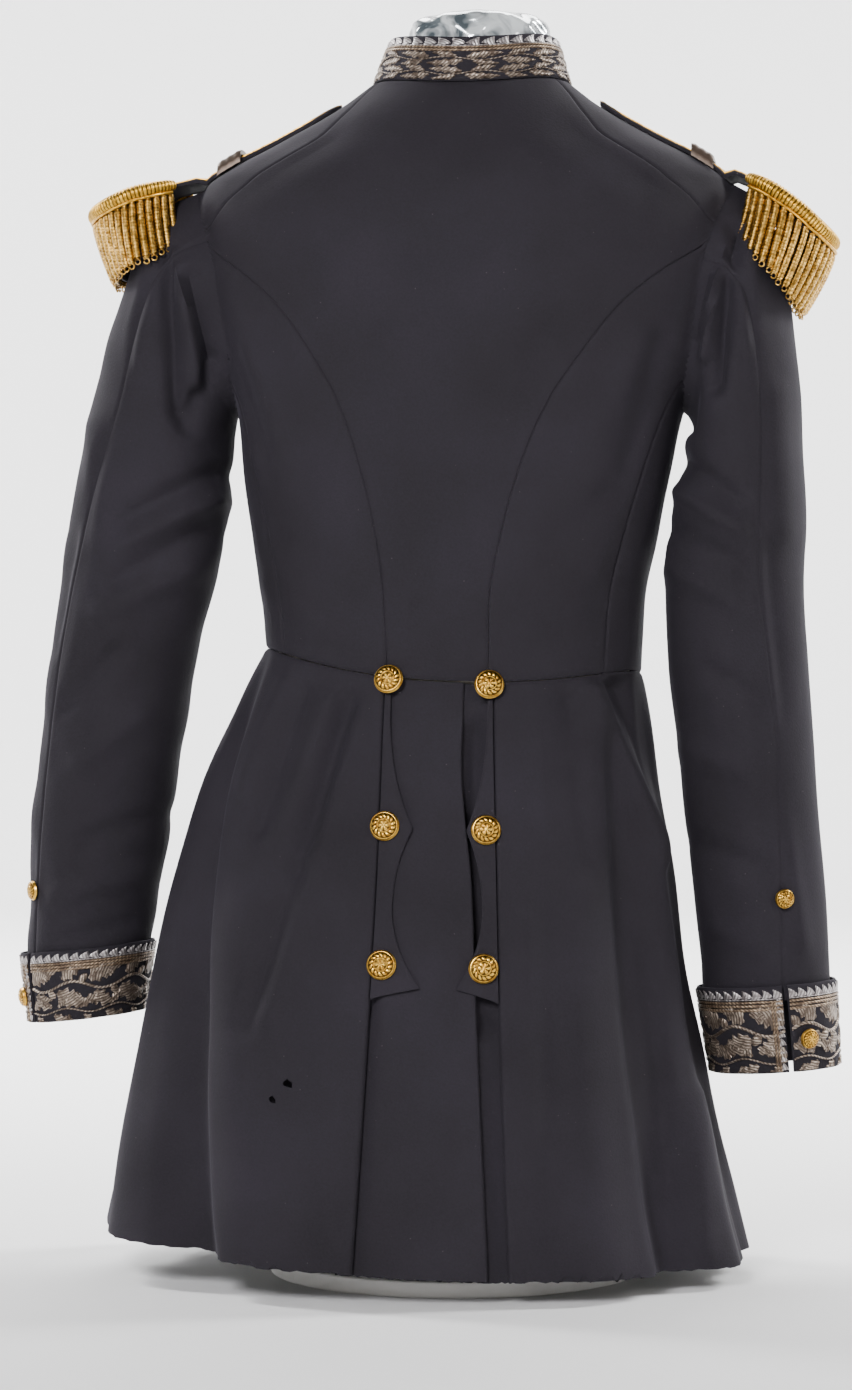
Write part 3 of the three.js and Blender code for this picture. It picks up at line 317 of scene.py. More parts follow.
def broadcloth(name, dark, light):
    # Milled wool broadcloth, dyed blue-black: a dense short nap hides the weave, scatters light softly and
    # catches lint, and old cloth has browned a little where it has been handled.
    material, tree, surface = new_material(
        name, Roughness=0.85, Sheen_Weight=0.05, Sheen_Roughness=0.4, Specular_IOR_Level=0.12)
    surface.inputs["Sheen Tint"].default_value = linear("#b4aec4")
    place = add_node(tree, "ShaderNodeTexCoord").outputs["Object"]
    cloud = add_node(tree, "ShaderNodeTexNoise", None, {"Vector": place, "Scale": 9.0, "Detail": 4.0})
    nap = add_node(tree, "ShaderNodeTexNoise", None, {"Vector": place, "Scale": 620.0, "Detail": 3.0})
    tone = add_node(tree, "ShaderNodeMath", {"operation": "MULTIPLY"}, {0: nap.outputs[0], 1: 0.45})
    both = add_node(tree, "ShaderNodeMath", {"operation": "MULTIPLY_ADD"},
                    {0: cloud.outputs[0], 1: 0.75, 2: tone.outputs[0]})
    spread = add_node(tree, "ShaderNodeMapRange", None, {0: both.outputs[0], 1: 0.35, 2: 0.85})
    cloth = two_tones(tree, spread.outputs[0], dark, light)
    lint = add_node(tree, "ShaderNodeTexVoronoi", {"feature": "F1"}, {"Vector": place, "Scale": 130.0})
    speck = add_node(tree, "ShaderNodeMapRange", None, {0: lint.outputs["Distance"], 1: 0.075, 2: 0.03})
    chance = add_node(tree, "ShaderNodeMath", {"operation": "GREATER_THAN"},
                      {0: lint.outputs["Color"], 1: 0.72})
    shown = add_node(tree, "ShaderNodeMath", {"operation": "MULTIPLY"},
                     {0: speck.outputs[0], 1: chance.outputs[0]})
    faint = add_node(tree, "ShaderNodeMath", {"operation": "MULTIPLY"}, {0: shown.outputs[0], 1: 0.35})
    dusted = add_node(tree, "ShaderNodeMix", {"data_type": "RGBA"},
                      {0: faint.outputs[0], 6: cloth, 7: linear("#6d6867")})
    tree.links.new(dusted.outputs[2], surface.inputs["Base Color"])
    bump = add_node(tree, "ShaderNodeBump", None,
                    {"Height": nap.outputs[0], "Strength": 0.55, "Distance": 0.0004})
    tree.links.new(bump.outputs[0], surface.inputs["Normal"])
    return material


WOOL = broadcloth("blue_black_broadcloth", "#1c1a1d", "#28252b")


def bend(value, power):
    """A power that keeps the sign."""
    return np.sign(value) * np.abs(value) ** power


def on_level(rows, angle, v):
    """Points on the section of a level. An angle of 0 is the middle of the back, 90 degrees the right."""
    at = {column: along(rows, v, column) for column in LEVEL[1:]}
    sine = np.sin(angle)
    cosine = np.cos(angle)
    z = ((at["back"] + at["front"] + at["right"] + at["left"]) / 4 + (at["back"] - at["front"]) / 2 * cosine
         + (at["right"] - at["left"]) / 2 * sine
         + (at["back"] + at["front"] - at["right"] - at["left"]) / 4 * np.cos(2 * angle))
    depth = np.where(cosine > 0, at["behind"], at["before"])
    x = at["shift"] + at["half"] * bend(sine, 2 / at["square"])
    return np.stack([x, -depth * bend(cosine, 2 / at["square"]), z], axis=-1)


def edge_steps(count, near):
    """Shares from 0 to 1, closer together next to both ends so that a pressed edge shows."""
    inner = np.linspace(3.2 * near, 1 - 3.2 * near, count)
    ends = np.array([0, 0.5, 1.1, 2.0]) * near
    return np.concatenate([ends, inner, 1 - ends[::-1]])


def grid_normals(grid, inside):
    """Directions straight out of a grid of points, away from a point inside it."""
    across = np.gradient(grid, axis=1)
    down = np.gradient(grid, axis=0)
    normal = np.cross(across, down)
    normal /= np.maximum(np.linalg.norm(normal, axis=-1, keepdims=True), 1e-9)
    if np.mean(np.sum(normal * (grid - inside), axis=-1)) < 0:
        normal = -normal
    return normal


def edge_distance(grid, axis):
    """How far each point is, over the cloth, from the nearer of the two edges that the axis runs between."""
    length = np.linalg.norm(np.diff(grid, axis=axis), axis=-1)
    from_start = np.concatenate([np.zeros_like(np.take(length, [0], axis)), np.cumsum(length, axis)], axis)
    total = np.take(from_start, [-1], axis)
    return from_start, total - from_start


def soft_lines(grid, lines, facing=None):
    """How far soft ridges and troughs stand out. Each runs from x, z to x, z with a breadth and a height."""
    rise = np.zeros(grid.shape[:2])
    for x0, z0, x1, z1, breadth, height in lines:
        run = np.array([x1 - x0, z1 - z0], float)
        share = ((grid[..., 0] - x0) * run[0] + (grid[..., 2] - z0) * run[1]) / (run @ run)
        share = np.clip(share, 0, 1)
        away = np.hypot(grid[..., 0] - x0 - share * run[0], grid[..., 2] - z0 - share * run[1])
        rise += height * np.exp(-(away / breadth) ** 2)
    return rise if facing is None else rise * facing


def slow_waves(grid, seed, height):
    """The slight unevenness of cloth that has hung for years, 40 to 130 mm from crest to crest."""
    draw = random.Random(seed)
    rise = np.zeros(grid.shape[:2])
    for _ in range(7):
        run = Vector([draw.uniform(-1, 1) for _ in range(3)]).normalized()
        wave = 2 * math.pi / draw.uniform(40, 130)
        rise += np.sin((grid @ np.array(run)) * wave + draw.uniform(0, 6.28))
    return rise * height / 7 ** 0.5


def cloth_piece(name, grid, normal, thick=CLOTH, keep=None, edge_angle=50):
    """A wall of cloth with closed rims: the grid is its outside. Faces may be left out of it by a mask."""
    rows, columns = grid.shape[:2]
    corner = np.arange(rows * columns).reshape(rows, columns)
    quads = np.stack([corner[:-1, :-1], corner[:-1, 1:], corner[1:, 1:], corner[1:, :-1]], axis=-1)
    if keep is not None:
        quads = quads[keep]
    quads = quads.reshape(-1, 4)
    outer = grid.reshape(-1, 3)
    middle = len(quads) // 2
    a, b, c, _ = outer[quads[middle]]
    if np.dot(np.cross(b - a, c - a), normal.reshape(-1, 3)[quads[middle][0]]) < 0:
        quads = quads[:, ::-1]
    inner = outer - normal.reshape(-1, 3) * thick
    edges = np.concatenate([quads[:, [i, (i + 1) % 4]] for i in range(4)])
    code = edges[:, 0].astype(np.int64) * len(outer) + edges[:, 1]
    back = edges[:, 1].astype(np.int64) * len(outer) + edges[:, 0]
    rim = edges[~np.isin(code, back)]
    shift = len(outer)
    rims = np.stack([rim[:, 1], rim[:, 0], rim[:, 0] + shift, rim[:, 1] + shift], axis=1)
    faces = np.concatenate([quads, quads[:, ::-1] + shift, rims])
    used, packed = np.unique(faces, return_inverse=True)
    points = np.concatenate([outer, inner])[used]
    return mesh_piece(name, points, packed.reshape(faces.shape).tolist(), edge_angle)


def pressed(grid, normal, sink=SEAM_SINK, reach=SEAM_REACH, sides=(1, 1, 1, 1)):
    """Cloth that dips at its sewn edges: left, right, first row and last row."""
    left, right = edge_distance(grid, 1)
    first, last = edge_distance(grid, 0)
    dip = np.zeros(grid.shape[:2])
    for distance, on in zip((left, right, first, last), sides):
        dip = np.maximum(dip, on * sink * np.exp(-(distance / reach) ** 2))
    return grid - normal * dip[..., None]


def cut_armhole(grid):
    """Leaves out the faces inside the armhole and sets the cut edge on its oval."""
    height = (grid[..., 2] - ARMHOLE["z"]) / ARMHOLE["height"]
    depth = (grid[..., 1] - ARMHOLE["y"]) / ARMHOLE["depth"]
    reach = np.where(np.abs(grid[..., 0]) > 110, np.hypot(height, depth), 9)
    inside = reach < 1
    keep = ~(inside[:-1, :-1] & inside[:-1, 1:] & inside[1:, 1:] & inside[1:, :-1])
    moved = grid.copy()
    share = np.where(inside, 1 / np.maximum(reach, 0.5), 1)
    moved[..., 2] = ARMHOLE["z"] + (grid[..., 2] - ARMHOLE["z"]) * share
    moved[..., 1] = ARMHOLE["y"] + (grid[..., 1] - ARMHOLE["y"]) * share
    return moved, keep


def side_bound(v):
    """The angle where the forepart starts: the side seam, then inside the armhole, then the shoulder seam."""
    low = along(SIDE_SEAM, np.minimum(v, SIDE_SEAM_TOP), "turn")
    share = (v - SIDE_SEAM_TOP) / (SEAMS_MEET - SIDE_SEAM_TOP)
    side_end, shoulder_start = SIDE_SEAM["turn"][-1], SHOULDER_SEAM["turn"][0]
    between = side_end + (shoulder_start - side_end) * share
    high = np.where(v < SEAMS_MEET, between, along(SHOULDER_SEAM, v, "turn"))
    return np.where(v < SIDE_SEAM_TOP, low, high)


def back_bound(v):
    """The angle where the back ends: its curved seam, then the shoulder seam."""
    return np.where(v < SEAMS_MEET, along(BACK_SEAM, v, "turn"), along(SHOULDER_SEAM, v, "turn"))


def front_edge(v):
    """The angle of the left forepart's front edge, which laps past the middle to the wearer's right."""
    half = along(BODICE, v, "half")
    square = along(BODICE, v, "square")
    return 180 - np.degrees(np.arcsin(bend(FRONT_LAP / half, square / 2)))


# The first four of each are x and z of both ends, in millimetres, then half the breadth and the height.
BODICE_FOLDS = [
    (-132, 560, -70, 508, 12, -2.4), (-136, 520, -70, 480, 11, 2.0), (130, 590, 84, 545, 12, -2.4),
    (136, 550, 76, 496, 12, 2.0), (-20, 500, 34, 478, 14, -1.3), (-160, 694, -134, 610, 9, -3.2),
    (-146, 700, -118, 630, 9, 2.2), (162, 700, 138, 610, 9, -3.4), (148, 700, 116, 630, 10, 2.2),
    (-90, 850, -150, 815, 14, -1.8), (95, 852, 150, 815, 14, -1.8), (0, 880, 0, 820, 40, 0.8),
    (70, 760, 50, 640, 16, 1.5), (86, 740, 62, 630, 13, -1.6), (-62, 740, -50, 640, 16, -1.2),
    (-60, 470, -20, 500, 10, -1.3), (90, 475, 60, 520, 10, -1.3), (20, 600, 26, 480, 12, 0.9),
]
FRONT_FOLDS = [
    (-120, 600, -60, 560, 20, -1.6), (120, 600, 60, 560, 20, -1.6), (-100, 480, -30, 520, 18, 1.4),
    (100, 480, 30, 520, 18, 1.2), (-60, 800, -130, 770, 20, -1.4), (60, 800, 130, 770, 20, -1.4),
]
SEAM_HALF_GAP = 0.15
# Folds die out within this distance of a seam.
SEAM_CALM = 18
body_middle = np.array([5.0, 0.0, 650.0])


def bodice_panel(name, left_bound, right_bound, top, columns, rows):
    """One piece of the bodice between two seams, given by angle against level."""
    levels = top * edge_steps(rows, 0.0022)
    shares = edge_steps(columns, 1 / 160)
    starts = left_bound(levels)[:, None]
    ends = right_bound(levels)[:, None]
    angle = np.radians(starts + (ends - starts) * shares[None, :])
    level = np.repeat(levels[:, None], len(shares), axis=1)
    grid = on_level(BODICE, angle, level)
    normal = grid_normals(grid, body_middle)
    back_side = np.clip(0.5 - grid[..., 1] / 60, 0, 1)
    rise = soft_lines(grid, BODICE_FOLDS, back_side) + soft_lines(grid, FRONT_FOLDS, 1 - back_side)
    rise += slow_waves(grid, 4, 0.5)
    left, right = edge_distance(grid, 1)
    first, last = edge_distance(grid, 0)
    calm = np.clip(np.minimum(np.minimum(left, right), np.minimum(first, last)) / SEAM_CALM, 0, 1)
    grid = grid + normal * (rise * calm)[..., None]
    grid = pressed(grid, normal)
    for edge, next_in in ((0, 1), (-1, -2)):
        inward = grid[:, next_in] - grid[:, edge]
        grid[:, edge] += inward / np.linalg.norm(inward, axis=-1, keepdims=True) * SEAM_HALF_GAP
    moved, keep = cut_armhole(grid)
    piece = cloth_piece(name + "_cloth", moved, normal, keep=keep)
    finish_piece(piece, "wool_cloth", WOOL, name)


bodice_panel("back", lambda v: -back_bound(v), back_bound, 1.0, 116, 112)
bodice_panel("side_body_left", lambda v: -side_bound(v), lambda v: -back_bound(v), 0.735, 34, 84)
bodice_panel("side_body_right", back_bound, side_bound, 0.735, 34, 84)
bodice_panel("forepart_left", lambda v: -360 + front_edge(v), lambda v: -side_bound(v), 1.0, 86, 104)
bodice_panel("forepart_right", side_bound, front_edge, 1.0, 80, 104)

# Skirts: two wide pieces hung from the waist seam, folded back at the rear pleats and open in front. They
# flare by their cut, so they hang in a few deep soft folds. The hem is a raw cut edge, frayed and nicked.
SKIRT = table(LEVEL, [
    [0.00, 449, 455, 431, 472, 142.5, 104, 98, -1, 2.2],
    [0.10, 406, 411, 391, 429, 157, 117, 111, -7, 2.15],
    [0.25, 342, 345, 331, 364, 175, 130, 124, -15, 2.1],
    [0.42, 269, 271, 263, 290, 191, 143, 137, -20, 2.05],
    [0.60, 192, 192, 190, 212, 206, 157, 150, -23, 2],
    [0.80, 106, 105, 110, 125, 226, 171, 163, -23, 2],
    [1.00, 21, 18, 31, 38, 246, 185, 176, -21, 2],
])
# Deep folds: the angles of each at the waist and at the hem, its half breadth in degrees, and its height.
SKIRT_FOLDS = [
    (-55, -24, 13, 9), (-73, -42, 11, -23), (-92, -62, 13, 10), (47, 35, 11, 7), (59, 55, 9.5, -19),
    (72, 69, 9, 9), (85, 87, 10, -9), (118, 117, 12, 9), (138, 134, 11, -9), (155, 153, 10, 5),
    (-118, -100, 13, -9), (-136, -126, 13, 8), (-156, -151, 11, -7),
]
# Smaller folds, most of which start below the waist seam: x and z of both ends, half breadth, height.
SKIRT_LINES = [
    (-66, 434, -96, 330, 8, -4.6), (-82, 432, -118, 330, 8, 4.4), (-104, 440, -134, 340, 8, -4.8),
    (-120, 446, -146, 372, 7, 3.0), (-54, 424, -60, 330, 8, 2.4), (-62, 415, -88, 320, 9, 3.8),
    (-88, 320, -122, 205, 11, 4.4), (-70, 420, -102, 310, 9, -3.6), (-102, 310, -138, 200, 11, -4.4),
    (-96, 120, -56, 22, 2.4, 1.6), (-92, 114, -51, 22, 2.4, -1.4), (-70, 250, -76, 60, 14, 1.8),
    (112, 442, 164, 316, 7, 7), (130, 446, 176, 336, 10, -9), (96, 436, 110, 320, 9, -3.4),
    (72, 430, 82, 300, 9, 1.8), (66, 300, 72, 60, 10, 1.6), (88, 280, 96, 50, 12, -2.0),
    (150, 250, 172, 30, 8, -4), (188, 140, 196, 30, 8, 3),
]
PLEAT = {
    "left": table(["v", "x"], [[0, -40], [0.25, -41], [0.6, -46], [1, -54]]),
    "right": table(["v", "x"], [[0, 40], [0.3, 45], [0.6, 50], [1, 59]]),
}
FRONT_GAP = {"waist": 0.002, "spread": 0.03}
SKIRT_TOP = 0.0008
PLEAT_ROLL = 3.2
FOLD_FADE = 0.6
SKIRT_ROWS = 132
SKIRT_COLUMNS = 150
# Moth holes in the left skirt: x, z and radius. Nicks in the hem: x, breadth and depth.
MOTH_HOLES = [(-104.5, 156, 3.4), (-116, 144.5, 2.7)]
HEM_NICKS = [(-133, 5, 4), (-108, 2.5, 3), (101, 3, 4), (112, 4, 5), (121, 2.5, 3), (128, 5, 4),
             (138, 2.5, 5), (147, 3, 3), (-70, 2, 2), (76, 2, 2.5)]
HANDS = [("left", -1), ("right", 1)]


def skirt(angle, v):
    """Points of the skirts. Their folds start as nothing at the waist seam and grow towards the hem."""
    point = on_level(SKIRT, angle, v)
    degrees = np.degrees(angle)
    rise = np.zeros_like(degrees)
    for waist, hem, breadth, height in SKIRT_FOLDS:
        away = np.abs(degrees - waist - (hem - waist) * np.clip(v, 0, 1))
        away = np.minimum(away, 360 - away) / breadth
        bump = height * np.cos(np.minimum(away, 1) * math.pi / 2) ** 2
        rise += bump * np.maximum(v, 0) ** FOLD_FADE
    out = point[..., :2] - np.stack([along(SKIRT, v, "shift"), np.zeros_like(degrees)], axis=-1)
    out /= np.linalg.norm(out, axis=-1, keepdims=True)
    point[..., :2] += out * rise[..., None]
    return point


def angle_at(v, x):
    """The angle at which a level of the skirts passes a distance from the middle, at the back."""
    share = (x - along(SKIRT, v, "shift")) / along(SKIRT, v, "half")
    return np.arcsin(bend(share, along(SKIRT, v, "square") / 2))


def frayed_hem(grid, seed):
    """Lifts the last rows unevenly, as a raw edge wears, with nicks where threads have gone."""
    draw = random.Random(seed)
    wear = np.array([draw.uniform(-0.7, 0.7) for _ in range(grid.shape[1])])
    x = grid[-1, :, 0]
    bite = np.zeros_like(x)
    for place, breadth, depth in HEM_NICKS:
        bite = np.maximum(bite, depth * (np.abs(x - place) < breadth) * (grid[-1, :, 1] < 0))
    grid[-1, :, 2] += wear + bite
    grid[-2, :, 2] += 0.5 * (wear + bite)
    return grid


def rolled_edge(distance, radius):
    """How far a folded edge sinks as it rolls under."""
    return radius - np.sqrt(np.maximum(0, radius ** 2 - np.maximum(0, radius - distance) ** 2))


def moth_hole(grid, keep, x, z, radius):
    """Leaves out the four faces round a place at the back, and sets their rim on a ragged ring."""
    away = np.hypot(grid[..., 0] - x, grid[..., 2] - z) + 1e3 * (grid[..., 1] > 0)
    row, column = np.unravel_index(np.argmin(away), away.shape)
    keep[row - 1:row + 1, column - 1:column + 1] = False
    for i, j in [(-1, -1), (-1, 0), (-1, 1), (0, 1), (1, 1), (1, 0), (1, -1), (0, -1)]:
        way = grid[row + i, column + j, ::2] - np.array([x, z])
        angle = math.atan2(way[1], way[0])
        ragged = radius * (1 + 0.22 * math.sin(2 * angle + x) + 0.1 * math.sin(5 * i + 3 * j))
        grid[row + i, column + j, ::2] = np.array([x, z]) + way / np.linalg.norm(way) * ragged


skirt_middle = np.array([-12.0, 0.0, 230.0])
for hand, side in HANDS:
    levels = SKIRT_TOP + (1 - SKIRT_TOP) * edge_steps(SKIRT_ROWS, 0.0018)
    shares = edge_steps(SKIRT_COLUMNS, 1 / 420)
    level = np.repeat(levels[:, None], len(shares), axis=1)
    start = angle_at(levels, along(PLEAT[hand], levels, "x"))[:, None]
    end = (side * (math.pi - FRONT_GAP["waist"] - FRONT_GAP["spread"] * levels))[:, None]
    grid = skirt(start + (end - start) * shares[None, :], level)
    normal = grid_normals(grid, skirt_middle)
    from_pleat, _ = edge_distance(grid, 1)
    from_waist, _ = edge_distance(grid, 0)
    behind = np.clip(-grid[..., 1] / 40, 0, 1)
    calm = np.clip(from_pleat / 22, 0, 1) * np.clip(from_waist / 8, 0, 1)
    rise = (soft_lines(grid, SKIRT_LINES, behind) + slow_waves(grid, 8 + side, 0.8)) * calm
    rise -= rolled_edge(from_pleat, PLEAT_ROLL)
    rise -= SEAM_SINK * np.exp(-(from_waist / SEAM_REACH) ** 2)
    grid = grid + normal * rise[..., None]
    grid = frayed_hem(grid, 21 + side)
    keep = np.ones((grid.shape[0] - 1, grid.shape[1] - 1), bool)
    if hand == "left":
        for x, z, radius in MOTH_HOLES:
            moth_hole(grid, keep, x, z, radius)
    skirt_cloth = cloth_piece("skirt_" + hand + "_cloth", grid, normal, keep=keep)
    finish_piece(skirt_cloth, "wool_cloth", WOOL, "skirt_" + hand)

# Laps of the back vent: the left lap lies over the right one, and both run under the pleats. Their edges are
# folded, so the left one shows a soft rounded edge over a dark hollow.
LAP_EDGE = table(["v", "x"], [[0, 19], [0.12, 18.5], [0.35, 28], [0.6, 34], [1, 45]])
LAP_TUCK = 13
UNDERLAP_START = -14
LAY_GAP = 0.8
LAP_ROLL = 2
LAP_FOLDS = {
    "left": [(-46, 430, -50, 215, 9, -3), (-48, 215, -56, 20, 10, -5), (-10, 400, -16, 200, 14, -1.2),
             (2, 330, 12, 60, 12, 1.0), (22, 430, 40, 30, 6, 1.6)],
    "right": [(27, 412, 30, 340, 9, -8), (32, 340, 40, 200, 9, -7), (42, 200, 54, 20, 9, -4)],
}


def lap_piece(hand, left_x, right_x, lift, seed):
    """One lap between two edges, given as x against level. Its lift sets it inside the skirts."""
    levels = SKIRT_TOP + (1 - SKIRT_TOP) * edge_steps(100, 0.0022)
    shares = edge_steps(36, 1 / 80)
    level = np.repeat(levels[:, None], len(shares), axis=1)
    start = angle_at(levels, left_x(levels))[:, None]
    end = angle_at(levels, right_x(levels))[:, None]
    grid = skirt(start + (end - start) * shares[None, :], level)
    normal = grid_normals(grid, skirt_middle)
    _, from_edge = edge_distance(grid, 1)
    from_waist, _ = edge_distance(grid, 0)
    calm = np.clip(from_waist / 15, 0, 1)
    rise = lift + (soft_lines(grid, LAP_FOLDS[hand]) + slow_waves(grid, seed, 0.4)) * calm
    rise -= rolled_edge(from_edge, LAP_ROLL)
    grid = grid + normal * rise[..., None]
    grid = frayed_hem(grid, seed)
    piece = cloth_piece("lap_" + hand + "_cloth", grid, normal)
    finish_piece(piece, "wool_cloth", WOOL, "lap_" + hand)


lap_piece("left", lambda v: along(PLEAT["left"], v, "x") - LAP_TUCK, lambda v: along(LAP_EDGE, v, "x"),
          -(CLOTH + LAY_GAP), 31)
lap_piece("right", lambda v: v * 0 + UNDERLAP_START, lambda v: along(PLEAT["right"], v, "x") + LAP_TUCK,
          -2 * (CLOTH + LAY_GAP), 32)

# Skirt flaps: scalloped strips sewn in at each pleat, with a point under the middle and the lowest button.
FLAP_TOP = 436
FLAP_POINT = {"z": 341, "out": 25}
FLAP_HOLLOW = {"z": 286, "out": 12.5}
FLAP_CORNER = {"z": 227, "out": 36}
FLAP_FOOT = 217
FLAP_THICK = 1.6
FLAP_SHARE = {"left": 1, "right": 0.85}


def flap_breadth(z):
    """How far the scalloped edge stands from the pleat: out to the point, in, and out to the corner."""
    upper = 5 + (FLAP_POINT["out"] - 5) * ((FLAP_TOP - z) / (FLAP_TOP - FLAP_POINT["z"])) ** 2.4
    share = (z - FLAP_HOLLOW["z"]) / (FLAP_POINT["z"] - FLAP_HOLLOW["z"])
    middle = FLAP_HOLLOW["out"] + (FLAP_POINT["out"] - FLAP_HOLLOW["out"]) * np.abs(share) ** 2.2
    share = (FLAP_HOLLOW["z"] - z) / (FLAP_HOLLOW["z"] - FLAP_CORNER["z"])
    lower = FLAP_HOLLOW["out"] + (FLAP_CORNER["out"] - FLAP_HOLLOW["out"]) * np.abs(share) ** 2
    return np.where(z > FLAP_POINT["z"], upper, np.where(z > FLAP_HOLLOW["z"], middle, lower))


skirt_level = np.linspace(0, 1, 400)
skirt_height = along(SKIRT, skirt_level, "back")


def level_at(z):
    """The level of the skirts that lies at a height, at the back."""
    return np.interp(-z, -skirt_height, skirt_level)


for hand, side in HANDS:
    heights = np.linspace(FLAP_TOP, FLAP_CORNER["z"], 90)
    shares = np.linspace(0, 1, 16)
    foot = FLAP_TOP - (FLAP_TOP - heights) * (FLAP_TOP - FLAP_FOOT) / (FLAP_TOP - FLAP_CORNER["z"])
    level = level_at(foot[:, None] + (heights - foot)[:, None] * shares[None, :] ** 0.8)
    inward = 0.6 + (flap_breadth(heights)[:, None] * FLAP_SHARE[hand] - 0.6) * shares[None, :]
    grid = skirt(angle_at(level, along(PLEAT[hand], level, "x") - side * inward), level)
    normal = grid_normals(grid, skirt_middle)
    _, from_edge = edge_distance(grid, 1)
    rise = 0.5 * np.sin(heights / 13)[:, None] * shares[None, :] - 0.5 * np.exp(-(from_edge / 0.8) ** 2)
    flap = cloth_piece("flap_" + hand + "_cloth", grid + normal * rise[..., None], normal, FLAP_THICK)
    finish_piece(flap, "wool_cloth", WOOL, "flap_" + hand)

# Sleeves: each is a top and an under sleeve, seamed at the back and the front of the arm, full at the head
# and bent a little at the elbow. Sewn into the armhole, the head stands up over the body's edge.
RING = ["v", "outerX", "outerZ", "innerX", "innerZ", "middleY", "depth"]
SLEEVE = {
    "left": table(RING, [
        [0.06, -218, 812, -169.5, 648, 4, 70], [0.13, -240, 784, -171, 641, 4, 71],
        [0.21, -256, 743, -172, 631, 3, 69], [0.30, -271, 692, -172, 617, 2, 66],
        [0.39, -283, 640, -172, 599, 0, 63], [0.47, -293, 588, -174, 578, -2, 61],
        [0.54, -302, 539, -180, 543, -3, 59], [0.61, -309, 491, -191, 500, -2, 57],
        [0.68, -315, 443, -203, 456, 2, 56], [0.74, -322, 398, -210, 411, 8, 54.5],
        [0.81, -328, 352, -218, 366, 14, 52.5], [0.88, -333, 306, -226, 320, 20, 50],
        [0.94, -336, 262, -236, 275, 26, 47.5], [1.00, -338, 224, -244, 235, 31, 46]]),
    "right": table(RING, [
        [0.06, 226, 812, 176, 648, 4, 70], [0.13, 243, 784, 177, 641, 4, 71],
        [0.21, 252, 743, 175.5, 631, 3, 69], [0.30, 259, 692, 173, 617, 2, 66],
        [0.39, 263, 640, 169.5, 600, 0, 63], [0.47, 264.5, 590, 164.5, 578, -2, 61],
        [0.54, 264.5, 546, 161, 543, -3, 58], [0.61, 265.5, 502, 161, 502, -2, 56],
        [0.68, 267.5, 458, 162.5, 458, 2, 54.5], [0.74, 271, 413, 167, 412, 8, 53],
        [0.81, 274, 366, 172.5, 364, 14, 51], [0.88, 278, 318, 178, 314, 20, 49],
        [0.94, 281, 268, 182.5, 262, 26, 47], [1.00, 284, 211, 187.5, 203, 31, 46]]),
}
HINDARM = {
    "left": table(["v", "turn"], [[0, 60], [0.3, 62], [0.5, 50], [0.72, 40], [1, 41]]),
    "right": table(["v", "turn"], [[0, 74], [0.3, 66], [0.55, 67], [0.72, 60], [1, 73]]),
}
FOREARM_TURN = 218
RIM = {"inset": 0.35, "sink": 1, "stand": 1.4, "level": 0.02}
# Creases of the sleeves: x and z of both ends, half breadth, height. The heights are multiplied by the first
# of the depths on the back of a sleeve and by the second on its front.
CREASE_DEPTHS = (1.5, 0.6)
SLEEVE_LINES = {
    "left": [(-190, 752, -176, 690, 5, -8), (-200, 760, -188, 672, 6, 5), (-212, 768, -202, 650, 7, -6.5),
             (-176, 690, -196, 640, 7, -5), (-226, 776, -232, 690, 9, 3), (-178, 604, -236, 574, 8, -4),
             (-180, 584, -244, 552, 7, 3.4), (-186, 560, -250, 524, 8, -3.6), (-196, 530, -262, 500, 8, 2.6),
             (-270, 640, -262, 560, 12, 2.4), (-250, 470, -294, 430, 8, -2.8), (-235, 420, -284, 384, 8, 2.2),
             (-225, 345, -280, 326, 8, -2.2), (-240, 300, -305, 284, 7, 2.2), (-290, 560, -300, 470, 8, -1.8),
             (-250, 262, -300, 250, 5, -2)],
    "right": [(196, 768, 183, 700, 5, -8), (206, 776, 192, 690, 6, 5), (216, 782, 200, 668, 7, -6.5),
              (182, 704, 176, 640, 7, -6), (228, 784, 222, 700, 9, 3), (174, 612, 214, 584, 8, -3.6),
              (170, 590, 220, 560, 7, 3.2), (168, 560, 220, 532, 8, -3.2), (168, 530, 218, 506, 8, 2.4),
              (246, 660, 250, 560, 10, 2.2), (236, 560, 246, 440, 8, -1.8), (196, 456, 244, 424, 8, -2.4),
              (178, 396, 224, 378, 8, 2.2), (186, 326, 240, 304, 8, -2.2), (250, 340, 264, 250, 7, 2),
              (196, 262, 236, 248, 6, 2)],
}


def on_tube(rows, turn, v):
    """Points of a sleeve or cuff. A turn of 0 is the outer side and 90 degrees the back."""
    at = {column: along(rows, v, column) for column in RING[1:]}
    share = (1 + np.cos(turn)) / 2
    return np.stack([at["innerX"] + (at["outerX"] - at["innerX"]) * share,
                     at["middleY"] - at["depth"] * np.sin(turn),
                     at["innerZ"] + (at["outerZ"] - at["innerZ"]) * share], axis=-1)


def depth_at(v, y):
    """How deep the bodice is on a level, behind or before its middle."""
    return np.where(y < 0, along(BODICE, v, "behind"), along(BODICE, v, "before"))


def bodice_x(side, y, z):
    """How far out the bodice is at a height and a depth, found by halving."""
    low = np.full_like(y, 0.3)
    high = np.full_like(y, 0.97)
    for _ in range(30):
        v = (low + high) / 2
        turn = np.arccos(bend(np.clip(-y / depth_at(v, y), -1, 1), along(BODICE, v, "square") / 2))
        point = on_level(BODICE, side * turn, v)
        below = point[..., 2] < z
        low = np.where(below, v, low)
        high = np.where(below, high, v)
    return point[..., 0]


